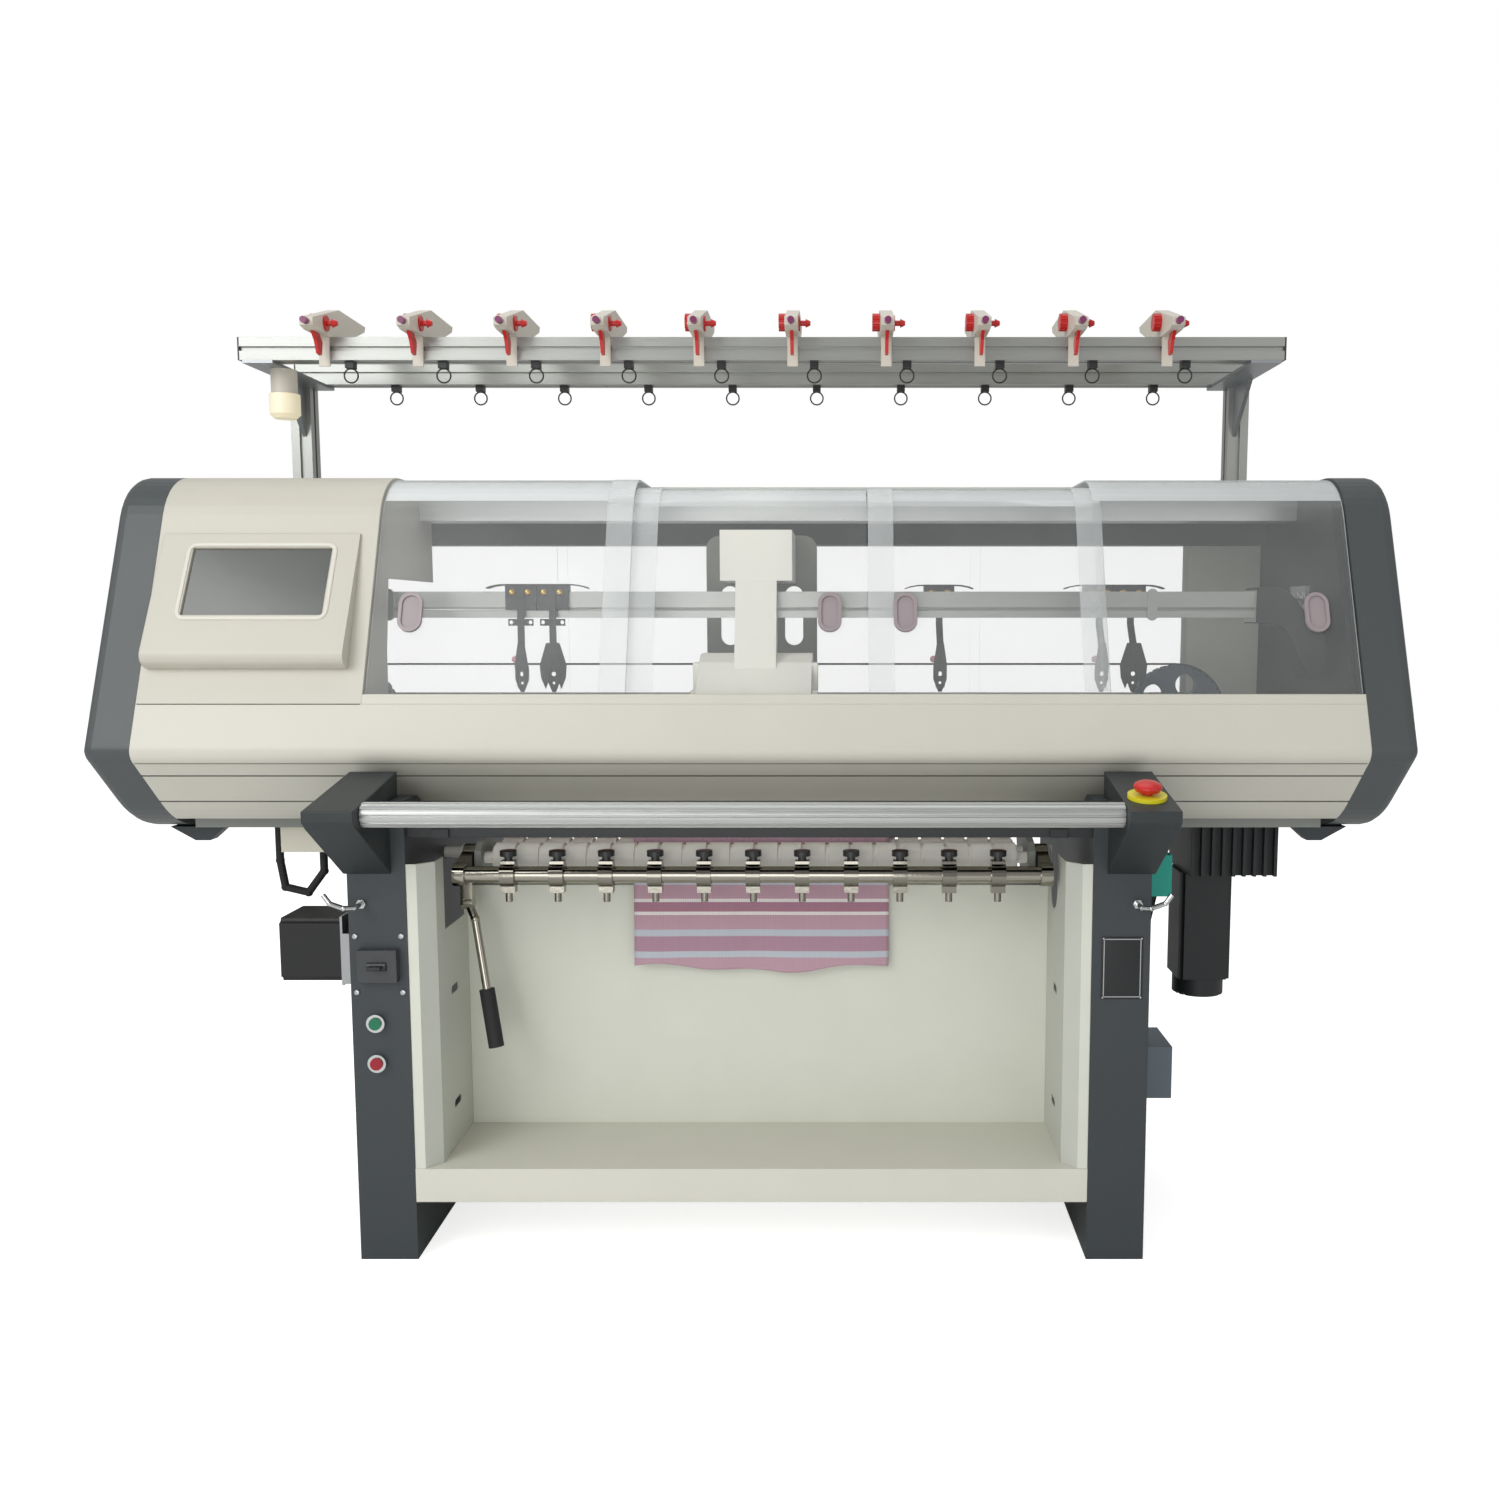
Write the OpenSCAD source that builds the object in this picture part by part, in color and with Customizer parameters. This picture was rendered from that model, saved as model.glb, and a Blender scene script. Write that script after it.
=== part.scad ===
// Industrial flat knitting machine, in millimetres
// X runs to the right, the front faces -Y, Z is up, the floor is Z = 0

/* [Head shell] */
// Distance between the inner faces of the two end caps
head_l = 2030; // [1900:10:2200]
// Width of each end cap
cap_w = 82; // [60:1:120]
// How far the nose of the apron stands in front of the centre line
nose_y = 243; // [225:1:260]
// Height of the nose of the apron above the legs
nose_h = 147; // [135:1:160]
// How far the front top corner stands in front of the centre line
brow_y = 65; // [50:1:75]
// Height of the head above the legs
head_h = 620; // [600:5:700]
// How far the back of the head stands behind the centre line
head_back = 350; // [340:1:370]
// How far the underside corner stands in front of the centre line
chin_y = 88; // [84:1:100]
// Thickness of the shell sheets
sheet_t = 3; // [2:0.5:4]
// Height of the top edge of the apron above the legs
apron_h = 230; // [220:1:240]
// Width of the control housing
control_w = 372; // [360:1:380]

/* [Windows] */
// Thickness of the clear window sheets
window_t = 3; // [2:0.5:4]
// Depth of the outer window track below the shell
track_outer = 4; // [3:0.5:5]
// Depth of the inner window track below the shell
track_inner = 18; // [15:0.5:19]
// Length of a sliding window
window_l = 430; // [420:1:440]

/* [Stand] */
// Distance between the inner faces of the legs
leg_gap = 1110; // [1100:2:1130]
// Width of a leg
leg_w = 95; // [80:1:100]
// How far the legs stand in front of the centre line
leg_front = 284; // [276:1:300]
// How far the legs stand behind the centre line
leg_back = 276; // [255:1:300]
// Height of the girder seat on the legs
leg_h = 690; // [680:1:695]
// Height of the front of the legs above their back
leg_nose_h = 80; // [75:1:84]
// Height of the shelf
shelf_h = 156; // [120:1:200]
// Height of the lip at the front of the shelf
shelf_lip = 57; // [40:1:80]
// Distance of the back panel in front of the centre line
recess_y = 84; // [80:1:86]
// Depth of the top of the back panel below the head
recess_h = 99; // [90:1:130]
// Thickness of the recess panels
panel_t = 2; // [1.5:0.5:3]

/* [Handle] */
// Diameter of the handle bar
bar_d = 39; // [30:1:44]
// Diameter of the pivot pins of the handle bar
bar_pin_d = 16; // [10:1:20]
// Distance of the handle bar in front of the centre line
bar_y = 398; // [392:1:402]
// Height of the handle bar above the legs
bar_h = 74; // [68:1:76]
// Distance of the handle brackets in front of the centre line
bracket_reach = 439; // [434:1:450]
// Width of a handle bracket
bracket_w = 78; // [70:1:84]

/* [Needle beds] */
// Distance of the needle gap in front of the centre line
gap_y = 45; // [42:1:48]
// Width of the needle gap
gap_w = 6; // [5:0.5:8]
// Height of the needle gap above the legs
bed_h = 215; // [205:1:225]
// Horizontal run of a needle bed
bed_run = 124; // [115:1:128]
// Thickness of a needle bed
bed_t = 30; // [24:1:32]
// Length of a needle bed
bed_l = 1016; // [960:1:1040]
// Pitch of the needle slots
slot_pitch = 12.7; // [10:0.1:16]
// Width of a needle slot
slot_w = 5; // [3:0.5:7]
// Depth of a needle slot
slot_d = 5; // [2:0.5:8]
// Diameter of the carriage guide rails
guide_d = 24; // [18:1:26]

/* [Carriage] */
// Length of the carriage along the bed
carriage_l = 196; // [170:2:206]
// Thickness of the upright plate at the back of the carriage
upright_t = 12; // [8:1:14]
// Height of the underside of the bridge above the needle gap
bridge_h = 221; // [219:1:235]
// Height of the top of the bridge above the needle gap
bridge_top = 309; // [285:1:315]
// Width of the bridge stem
stem_w = 72; // [50:1:90]
// Width of the bridge head
bridge_w = 126; // [110:1:150]

/* [Yarn feeders] */
// Length of the feeder rails
rail_l = 1760; // [1700:5:1780]
// Height of the underside of the feeder rails above the needle gap
rail_h = 157; // [153:1:165]
// Height of the feeder rail section
rail_t = 46; // [40:1:48]
// Width of the feeder rail section
rail_w = 12; // [8:1:14]
// Distance between the two feeder rails
rail_pitch = 42; // [40:1:46]
// Height of the feeder tips above the needle gap
feeder_tip_h = 26; // [21:1:35]

/* [Belt drive] */
// Distance between the two carriage belt pulleys
pulley_pitch = 1568; // [1500:4:1600]
// Radius of a carriage belt pulley
pulley_r = 88; // [70:1:92]
// Width of the carriage belt
belt_w = 24; // [16:1:28]
// Thickness of the belts
belt_t = 3; // [2:0.5:4]

/* [Take-down] */
// Distance of the main take-down roller in front of the centre line
roller_y = 68; // [66:0.5:69]
// Depth of the take-down rollers below the head
roller_h = 42; // [40:1:46]
// Diameter of the take-down rollers
roller_d = 52; // [44:1:53]
// Distance between the axes of the take-down rollers
roller_pitch = 54; // [54:0.5:58]
// Length of the take-down rollers
roller_l = 904; // [880:2:908]
// Number of segments on a take-down roller
roller_count = 22; // [12:1:30]
// Diameter of the roller journals
journal_d = 20; // [14:1:22]
// Diameter of the chrome press bar
press_d = 28; // [20:1:30]
// Distance of the press bar in front of the centre line
press_y = 190; // [180:1:195]
// Depth of the press bar below the rollers
press_h = 17; // [8:1:23]
// Number of clamps on the press bar
clamp_count = 11; // [5:2:11]
// Pitch of the clamps on the press bar
clamp_pitch = 82.5; // [60:0.5:84]
// Width of the take-down stepper motor
stepper_w = 106; // [90:1:112]
// Width of the hanging fabric
fabric_w = 449; // [300:1:600]
// Length of the fabric below the rollers
fabric_h = 203; // [128:5:348]

/* [Yarn stand] */
// Section of the posts and beams of the yarn stand
post_w = 42; // [36:1:46]
// Distance between the outer faces of the posts
stand_l = 1984; // [1900:4:2020]
// Gap between the head and the posts
post_gap = 47; // [40:1:60]
// Height of the foot of the posts above the legs
post_foot = 50; // [10:5:110]
// Height of the end plates above the head
stand_h = 226; // [190:2:250]
// Thickness of the end plates
end_plate_t = 6; // [4:1:8]
// Distance of the front beam behind the centre line
front_beam_y = 143; // [130:1:160]
// Number of yarn tensioners
tensioner_count = 10; // [4:1:11]
// Pitch of the yarn tensioners
tensioner_pitch = 175; // [150:1:185]
// Width of a tensioner body
tensioner_w = 24; // [18:1:28]

/* [Controls] */
// Diameter of the push buttons
button_d = 20; // [14:1:24]
// Diameter of the push-button bezels
bezel_d = 30; // [26:1:36]
// Diameter of the emergency-stop mushroom head
estop_d = 44; // [36:1:48]

/* [Hidden] */
$fn = 32;
fit = 0.05;
clear = 0.3;
far = 3000;
head_x = head_l / 2;
cap_x = head_x + cap_w;
control_x = -head_x + control_w;
end_frame_t = 12;
frame_x = head_x - end_frame_t;
leg_in = leg_gap / 2;
leg_out = leg_in + leg_w;
nose_z = leg_h + nose_h;
head_z = leg_h + head_h;
apron_z = leg_h + apron_h;
leg_nose_z = leg_h + leg_nose_h;
recess_z = leg_h - recess_h;
bar_z = leg_h + bar_h;
bed_z = leg_h + bed_h;
bridge_z = bed_z + bridge_h;
bridge_top_z = bed_z + bridge_top;
rail_z = bed_z + rail_h;
feeder_tip_z = bed_z + feeder_tip_h;
roller_z = leg_h - roller_h;
press_z = roller_z - press_h;
fabric_z = roller_z - fabric_h;
post_foot_z = leg_h + post_foot;
stand_z = head_z + stand_h;
girder_front = 58;
girder_back = 250;
bed_edge = -gap_y - gap_w / 2;
bed_low_y = bed_edge - bed_run + bed_t / sqrt(2);
bed_low_z = bed_z - bed_run - bed_t / sqrt(2);
girder_top = bed_low_z - 2;
apron_end_y = 100;
shell = [[-nose_y, nose_z], [-brow_y, head_z], [head_back, head_z], [head_back, leg_h], [-chin_y, leg_h]];
shell_r = [25, 110, 60, 40, 200];
shell_lean = atan2(nose_y - brow_y, head_z - nose_z);

// Plane geometry
function unit(v) = v / norm(v);
function right_of(v) = [v[1], -v[0]];
function cross_of(a, b) = a[0] * b[1] - a[1] * b[0];
function meet(p, u, q, v) = p + u * cross_of(q - p, v) / cross_of(u, v);
function corner_in(a, b, c, d) =
    let (u = unit(b - a), v = unit(c - b))
    meet(b + d * right_of(u), u, b + d * right_of(v), v);
function inset(pts, d) =
    let (n = len(pts))
    [for (i = [0:n - 1]) corner_in(pts[(i + n - 1) % n], pts[i], pts[(i + 1) % n], d)];
function corner_arc(a, b, c, r, n) =
    let (u = unit(a - b), v = unit(c - b), half = acos(u * v) / 2)
    let (centre = b + unit(u + v) * r / sin(half), start = b + u * r / tan(half) - centre)
    let (a0 = atan2(start[1], start[0]), turn = (180 - 2 * half) * sign(cross_of(b - a, c - b)))
    [for (k = [0:n]) centre + r * [cos(a0 + turn * k / n), sin(a0 + turn * k / n)]];
function rounded(pts, radii, n = 8) =
    let (m = len(pts))
    [for (i = [0:m - 1]) each corner_arc(pts[(i + m - 1) % m], pts[i], pts[(i + 1) % m], radii[i], n)];
function shell_outline(d) = rounded(inset(shell, d), [for (r = shell_r) max(r - d, 1)]);
function on_front(z) = -nose_y + (z - nose_z) * tan(shell_lean);
function on_chin(y) = nose_z + (y + nose_y) * (leg_h - nose_z) / (nose_y - chin_y);

// A profile drawn in Y and Z, drawn out along X
module along_x(x0, x1) {
    translate([x0, 0, 0]) rotate([90, 0, 90]) linear_extrude(x1 - x0) children();
}

// A profile drawn in X and Z, drawn out along Y
module along_y(y0, y1) {
    translate([0, y1, 0]) rotate([90, 0, 0]) linear_extrude(y1 - y0) children();
}

module box(x0, x1, y0, y1, z0, z1) {
    translate([x0, y0, z0]) cube([x1 - x0, y1 - y0, z1 - z0]);
}

module round_x(x0, x1, y, z, r) {
    translate([x0, y, z]) rotate([0, 90, 0]) cylinder(h = x1 - x0, r = r);
}

module round_y(y0, y1, x, z, r) {
    translate([x, y0, z]) rotate([-90, 0, 0]) cylinder(h = y1 - y0, r = r);
}

module both_sides() {
    children();
    mirror([1, 0, 0]) children();
}

// A round rod through a list of points, with slightly fuller balls at its bends
rod_ball = 1.12;

module rod(pts, r) {
    for (i = [0:len(pts) - 2]) {
        d = pts[i + 1] - pts[i];
        translate(pts[i])
            rotate([0, acos(d[2] / norm(d)), atan2(d[1], d[0])])
                cylinder(h = norm(d), r = r, $fn = 16);
        if (i > 0) translate(pts[i]) sphere(r = rod_ball * r, $fn = 16);
    }
}

module ring(r_out, r_in, h) {
    difference() {
        cylinder(h = h, r = r_out);
        translate([0, 0, -1]) cylinder(h = h + 2, r = r_in);
    }
}

module stadium(w, l) {
    square([w, l - w], center = true);
    translate([0, (l - w) / 2]) circle(d = w);
    translate([0, -(l - w) / 2]) circle(d = w);
}

// The part of the shell between two depths
module shell_band(d0, d1) {
    difference() {
        polygon(shell_outline(d0));
        polygon(shell_outline(d1));
    }
}

module area(y0, z0, y1, z1) {
    translate([y0, z0]) square([y1 - y0, z1 - z0]);
}

// Head shell
cap_edge_r = 20;
cap_steps = 4;

module end_cap() {
    hull() {
        along_x(head_x, head_x + 1) polygon(shell_outline(0));
        for (k = [0:cap_steps]) {
            a = 90 * k / cap_steps;
            x = cap_x - cap_edge_r * (1 - sin(a));
            along_x(x - 0.2, x) polygon(shell_outline(cap_edge_r * (1 - cos(a))));
        }
    }
}

module right_end_cap() {
    color("#3F4443") end_cap();
}

module left_end_cap() {
    color("#4A4F4E") mirror([1, 0, 0]) end_cap();
}

groove_r = 2;
groove_ys = [-204, -151];

module front_apron() {
    color("#CFCBBE") along_x(-head_x, head_x) difference() {
        intersection() {
            shell_band(0, sheet_t);
            area(-far, leg_h - 1, -apron_end_y, apron_z);
        }
        for (y = groove_ys) translate([y, on_chin(y)]) circle(r = groove_r, $fn = 12);
    }
}

control_wall_t = 3;
hood_top = apron_z + 314;
hood_bottom = apron_z + 56;
hood_nose_h = apron_z + 72;
hood_nose_out = 34;
hood_x0 = -head_x + 10;
hood_x1 = control_x - 28;
hood_a = [on_front(hood_top), hood_top];
hood_b = [on_front(hood_nose_h) - hood_nose_out, hood_nose_h];
hood_c = [on_front(hood_bottom), hood_bottom];
hood_lean = atan2(hood_a[0] - hood_b[0], hood_a[1] - hood_b[1]);
hood_face = norm(hood_a - hood_b);
screen_w = 232;
screen_h = 124;
screen_t = 4;
screen_drop = 8;
screen_edge = 4;
screen_x = -833;
screen_up = 148;

// Places children on the sloping face of the hood, Z outward
module on_hood() {
    u = unit(hood_a - hood_b);
    p = hood_b + u * screen_up;
    translate([screen_x, p[0], p[1]]) rotate([90 - hood_lean, 0, 0]) children();
}

module hood() {
    difference() {
        along_x(hood_x0, hood_x1)
            polygon(rounded([hood_a, hood_c, hood_b], [2, 4, 18], 6));
        screen_pocket();
    }
}

module screen_pocket() {
    on_hood() translate([0, 0, -screen_drop])
        linear_extrude(far / 10) square([screen_w + screen_edge, screen_h + screen_edge], center = true);
}

control_cut_z = [leg_h + 10, apron_z + 80, apron_z + 210];
control_cut = [
    [-80, control_cut_z[0]], [-80, control_cut_z[1]], [-60, control_cut_z[2]],
    [260, control_cut_z[2]], [260, control_cut_z[0]]
];

module control_housing() {
    color("#CFCBBE") {
        difference() {
            along_x(-head_x, control_x) intersection() {
                shell_band(0, sheet_t);
                area(-far, apron_z, cover_front, head_z + 1);
            }
            screen_pocket();
        }
        along_x(control_x - control_wall_t, control_x) difference() {
            intersection() {
                polygon(shell_outline(sheet_t));
                area(-far, apron_z, track_back, head_z);
            }
            polygon(control_cut);
        }
        hood();
    }
}

module touch_screen() {
    color("#5F625F") on_hood() translate([0, 0, -screen_drop])
        linear_extrude(screen_t) square([screen_w, screen_h], center = true);
}

// Windows and their tracks
track_front = 120;
track_back = 190;
track_depth = 26;
track_lip = 2;
sill_t = 4;
sill_h = apron_z + sill_t;
sill_body = 24;
sill_lip = 12;
cover_front = 168;
outer_back = cover_front - 3;
inner_back = 140;
inner_top = head_z - track_inner - window_t;
outer_top = head_z - track_outer - window_t;
top_rail_h = 46;
inner_l = 404;
grip_w = 40;
grip_l = 70;
grip_t = 6;
grip_h = apron_z + 150;

module window_tracks() {
    color("#B9BBB8") along_x(control_x, head_x) {
        intersection() {
            shell_band(sheet_t, track_depth);
            area(-far, apron_z - sill_body, -apron_end_y, apron_z);
        }
        intersection() {
            shell_band(0, track_depth);
            area(-far, apron_z, -apron_end_y, sill_h);
        }
        intersection() {
            shell_band(0, track_outer - track_lip);
            area(-far, sill_h, -apron_end_y, sill_h + sill_lip);
        }
        intersection() {
            shell_band(track_outer + window_t + track_lip, track_inner - track_lip);
            area(-far, sill_h, -apron_end_y, sill_h + sill_lip);
        }
        area(inner_back + track_lip, inner_top, track_back, outer_top);
        area(cover_front, outer_top, track_back, head_z - sheet_t);
    }
    color("#B9BBB8") along_x(control_x, frame_x) area(track_front, inner_top - top_rail_h, track_back, inner_top);
}

// A sliding window sheet with its finger grip
module sliding_window(x0, l, depth, y_back, grip_x) {
    along_x(x0, x0 + l) intersection() {
        shell_band(depth, depth + window_t);
        area(-far, sill_h, y_back, head_z);
    }
    out = depth / cos(shell_lean);
    translate([grip_x, on_front(grip_h) + out, grip_h]) rotate([90 - shell_lean, 0, 0]) difference() {
        linear_extrude(grip_t) stadium(grip_w, grip_l);
        translate([0, 0, grip_t / 2]) linear_extrude(grip_t) stadium(grip_w - 12, grip_l - 12);
    }
}

window_gap = 3;
window_1_x = control_x + window_gap;
window_4_x = head_x - window_gap - window_l;
inner_mid = 193;
grip_in = 64;

module window_1() {
    color("#DDE6E6", 0.3)
        sliding_window(window_1_x, window_l, track_outer, outer_back, window_1_x + grip_in);
}

module window_2() {
    color("#DDE6E6", 0.3)
        sliding_window(inner_mid - 1 - inner_l, inner_l, track_inner, inner_back, inner_mid - grip_in);
}

module window_3() {
    color("#DDE6E6", 0.3)
        sliding_window(inner_mid + 1, inner_l, track_inner, inner_back, inner_mid + grip_in);
}

module window_4() {
    color("#DDE6E6", 0.3)
        sliding_window(window_4_x, window_l, track_outer, outer_back, window_4_x + window_l - grip_in);
}

rear_open_x0 = -800;
rear_open_x1 = 851;
rear_open_z0 = leg_h + 218;
rear_open_z1 = head_z - 102;
rear_split = 424;
rear_lap = 10;

module rear_cover() {
    color("#CFD2C6") difference() {
        along_x(-head_x, head_x) intersection() {
            shell_band(0, sheet_t);
            union() {
                area(cover_front, girder_top, far, far);
                area(girder_back, 0, far, far);
            }
        }
        box(rear_open_x0, rear_open_x1, head_back - 20, far, rear_open_z0, rear_open_z1);
    }
}

module rear_windows() {
    y = head_back - sheet_t;
    color("#DDE6E6", 0.3) {
        box(rear_open_x0 - rear_lap, -rear_split + rear_lap, y - window_t, y, rear_open_z0 - rear_lap,
            rear_open_z1 + rear_lap);
        box(rear_split - rear_lap, rear_open_x1 + rear_lap, y - window_t, y, rear_open_z0 - rear_lap,
            rear_open_z1 + rear_lap);
        box(-rear_split - rear_lap, rear_split + rear_lap, y - 2 * window_t, y - window_t,
            rear_open_z0 - rear_lap, rear_open_z1 + rear_lap);
    }
}

frame_depth = 26;
top_beam = [285, head_z - 102, 334, head_z - 26];
pulley_x = pulley_pitch / 2;
pulley_drop = 20;
pulley_h = bed_z - pulley_drop;
belt_front = 109;
pulley_shaft_r = 12;
pillar = [60, 32];
pillar_y = [140, 196];

// The top beam is a bar of its own, bolted between the end plates
beam_seam = 0.2;

module head_frame() {
    color("#4A5358") {
        both_sides() {
            along_x(frame_x, head_x) polygon(shell_outline(frame_depth));
            along_y(pillar_y[0], pillar_y[1]) polygon([
                [pulley_x - pillar[0], girder_top], [pulley_x + pillar[0], girder_top],
                [pulley_x + pillar[1], pulley_h + pillar[1]], [pulley_x - pillar[1], pulley_h + pillar[1]]
            ]);
            round_y(belt_front - 2, pillar_y[0], pulley_x, pulley_h, pulley_shaft_r);
        }
        along_x(-frame_x + beam_seam, frame_x - beam_seam)
            area(top_beam[0], top_beam[1], top_beam[2], top_beam[3]);
    }
}

// Legs, shelf and recess
leg_ramp = [[-130, leg_h + 32], [-215, leg_nose_z]];
shaft_clear = 2;
door_edge = 18;
door_depth = 1.5;

module leg_profile() {
    polygon([
        [leg_back, leg_h], [-girder_front, leg_h], leg_ramp[0], leg_ramp[1], [-leg_front, leg_nose_z],
        [-leg_front, 0], [leg_back, 0]
    ]);
}

// A leg with a shallow door panel on its outer side
module leg() {
    difference() {
        along_x(leg_in, leg_out) leg_profile();
        along_x(leg_out - door_depth, leg_out + 1) area(
            -leg_front + door_edge, shelf_h, leg_back - door_edge, leg_h - 4 * door_edge);
    }
}

module left_leg() {
    color("#474B4E") difference() {
        mirror([1, 0, 0]) leg();
        round_x(-leg_out - 1, -leg_in + 1, -roller_y, roller_z, journal_d / 2 + shaft_clear);
    }
}

module right_leg() {
    color("#474B4E") leg();
}

cross_front = 272;
cross_t = 50;
cross_z = [leg_h + 18, leg_h + 65];
cross_tab_x = 500;
cross_tab = [14, 5];

module front_crossbeam() {
    color("#2A3033") {
        along_x(-leg_in, leg_in) difference() {
            area(-cross_front, cross_z[0], -cross_front + cross_t, cross_z[1]);
            area(-cross_front + panel_t, cross_z[0] - 1, -cross_front + cross_t - panel_t,
                cross_z[1] - panel_t);
        }
        both_sides() box(cross_tab_x - cross_tab[0], cross_tab_x + cross_tab[0], -cross_front - cross_tab[1],
            -cross_front, cross_z[0], cross_z[0] + cross_tab[0]);
    }
}

shelf_t = 3;
shelf_back = 20;

module shelf_tray() {
    color("#BDBBAE") along_x(-leg_in, leg_in) {
        area(-leg_front, shelf_h - shelf_t, leg_back - shelf_back, shelf_h);
        area(-leg_front, shelf_h - shelf_lip, -leg_front + shelf_t, shelf_h);
        area(leg_back - shelf_back - shelf_t, shelf_h - shelf_lip, leg_back - shelf_back, shelf_h);
    }
}

wall_x = leg_in - 40;
wall_h = leg_h - 24;
wall_slot_z = [shelf_h + 74, shelf_h + 274];
wall_flange = 17;
wall_slope = 25;
panel_fold = 22;

module side_wall() {
    f = -leg_front + 1;
    translate([0, 0, shelf_h]) linear_extrude(wall_h - shelf_h) polygon([
        [leg_in, f], [leg_in - wall_flange, f], [wall_x, f + wall_slope], [wall_x, -recess_y],
        [wall_x + panel_t, -recess_y], [wall_x + panel_t, f + wall_slope + panel_t],
        [leg_in - wall_flange + panel_t, f + panel_t], [leg_in, f + panel_t]
    ]);
}

module slot_x(x0, x1, y, z, w, l) {
    along_x(x0, x1) translate([y, z]) rotate(90) stadium(w, l);
}

module recess_panels() {
    color("#CFD2C6") {
        difference() {
            mirror([1, 0, 0]) side_wall();
            box(-wall_x - 10, -wall_x + 10, -215, -100, leg_h - 147, far);
            for (z = wall_slot_z) slot_x(-wall_x - 10, -wall_x + 10, -170, z, 14, 40);
        }
        difference() {
            side_wall();
            box(wall_x - 10, wall_x + 10, -180, -107, leg_h - 90, far);
            round_x(wall_x - 10, wall_x + 10, -143.5, leg_h - 90, 36.5);
            for (z = wall_slot_z) slot_x(wall_x - 10, wall_x + 10, -170, z, 14, 40);
        }
        box(-wall_x, wall_x, -recess_y, -recess_y + panel_t, shelf_h, recess_z);
        box(-wall_x, wall_x, -recess_y, -recess_y + panel_fold, recess_z - panel_t, recess_z);
    }
}

// Handle
bracket_x = leg_in + 23;
bracket_low = leg_h - 40;
bracket_chin = bar_z - 19;
bracket_lip = bar_z - 7;
bracket_crease = bar_z + 11;
bracket_back = 240;
bracket_back_h = bar_z + 48;
bracket_wall = 9;
bracket_slope = atan2(bracket_back_h - bracket_crease, bracket_reach - bracket_back);
bracket_pts = [
    [-leg_front, bracket_low], [-leg_front, leg_nose_z], [-bracket_back, leg_nose_z],
    [-bracket_back, bracket_back_h], [-bracket_reach, bracket_crease], [-bracket_reach, bracket_lip],
    [-bracket_reach + 14, bracket_chin]
];
pocket_depth = 30;
pocket_pts = [
    [-leg_front - bracket_wall, bracket_low + 2.4 * bracket_wall], [-leg_front - bracket_wall, leg_nose_z],
    [-bracket_reach + 4 * bracket_wall, bracket_crease - bracket_wall], [-bracket_reach + 3 * bracket_wall,
    bracket_chin + bracket_wall]
];
pin_l = 30;

module handle_bracket() {
    difference() {
        along_x(bracket_x, bracket_x + bracket_w) polygon(bracket_pts);
        along_x(bracket_x + bracket_w - pocket_depth, bracket_x + bracket_w + 1) polygon(pocket_pts);
        round_x(bracket_x - 1, bracket_x + pin_l + 2, -bar_y, bar_z, bar_pin_d / 2 + fit);
    }
}

module left_handle_bracket() {
    color("#474B4E") mirror([1, 0, 0]) handle_bracket();
}

estop_y = 376;
estop_x = bracket_x + bracket_w / 2;
estop_stem_d = 16;
estop_base_d = 60;
estop_base_t = 6;
estop_travel = 5;

// Places children on the sloping top of the right bracket
module on_bracket() {
    z = bracket_crease + (bracket_reach - estop_y) * tan(bracket_slope);
    translate([estop_x, -estop_y, z]) rotate([bracket_slope, 0, 0]) children();
}

module right_handle_bracket() {
    color("#474B4E") difference() {
        handle_bracket();
        on_bracket() translate([0, 0, -estop_travel - 2]) cylinder(h = far / 10, d = estop_stem_d + 2);
    }
}

bar_flutes = 12;
flute_r = 2;
bar_end_gap = 1;

module handle_bar() {
    l = bracket_x - bar_end_gap;
    color("#C9CACA") translate([0, -bar_y, bar_z]) rotate([0, 90, 0]) {
        translate([0, 0, -l]) linear_extrude(2 * l) difference() {
            circle(d = bar_d);
            for (k = [0:bar_flutes - 1]) rotate(k * 360 / bar_flutes)
                translate([bar_d / 2, 0]) circle(r = flute_r, $fn = 12);
        }
        translate([0, 0, -l - pin_l]) cylinder(h = 2 * l + 2 * pin_l, d = bar_pin_d);
    }
}

// Needle beds on their girders
bed_rest_y = bed_edge - 30;
girder_x = leg_out + 50;
girder_nose_h = bed_z - 167;
girder_wall = 20;
block_l = 40;
slot_count = floor(bed_l / slot_pitch);

function bed_under(y) = bed_z - bed_t * sqrt(2) + y - bed_edge;

module mirror_at_gap() {
    translate([0, -2 * gap_y, 0]) mirror([0, 1, 0]) children();
}

module bed_base() {
    rest = [bed_rest_y, bed_under(bed_rest_y) - fit];
    low = [bed_low_y, bed_low_z - fit];
    color("#8C8F8A") {
        difference() {
            along_x(-frame_x, frame_x) area(-girder_front, leg_h, girder_back, girder_top);
            along_x(-leg_in + girder_wall, leg_in - girder_wall) area(-girder_front + girder_wall, leg_h - 1,
                girder_back - girder_wall, girder_top - girder_wall);
        }
        along_x(-girder_x, girder_x) {
            polygon([rest, low, [-112, girder_nose_h], [-92, girder_nose_h]]);
            translate([-2 * gap_y, 0]) mirror([1, 0]) polygon([
                rest, low, [bed_low_y, girder_top - 5], [bed_rest_y, girder_top - 5]
            ]);
        }
        both_sides() along_x(girder_x - block_l, girder_x) polygon([
            low, rest, [-girder_front + 5, rest[1]], [-girder_front + 5, leg_h + 10], [-112, girder_nose_h]
        ]);
    }
}

module guide_strip() {
    along_x(-roller_l / 2 - 40, roller_l / 2 + 40) area(
        -girder_front - panel_t, leg_h - 8, -girder_front, leg_h + 46);
}

function slot_pts(x) = [
    [x + slot_w / 2, 0], [x + slot_w / 2, -slot_d], [x - slot_w / 2, -slot_d], [x - slot_w / 2, 0]
];

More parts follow.
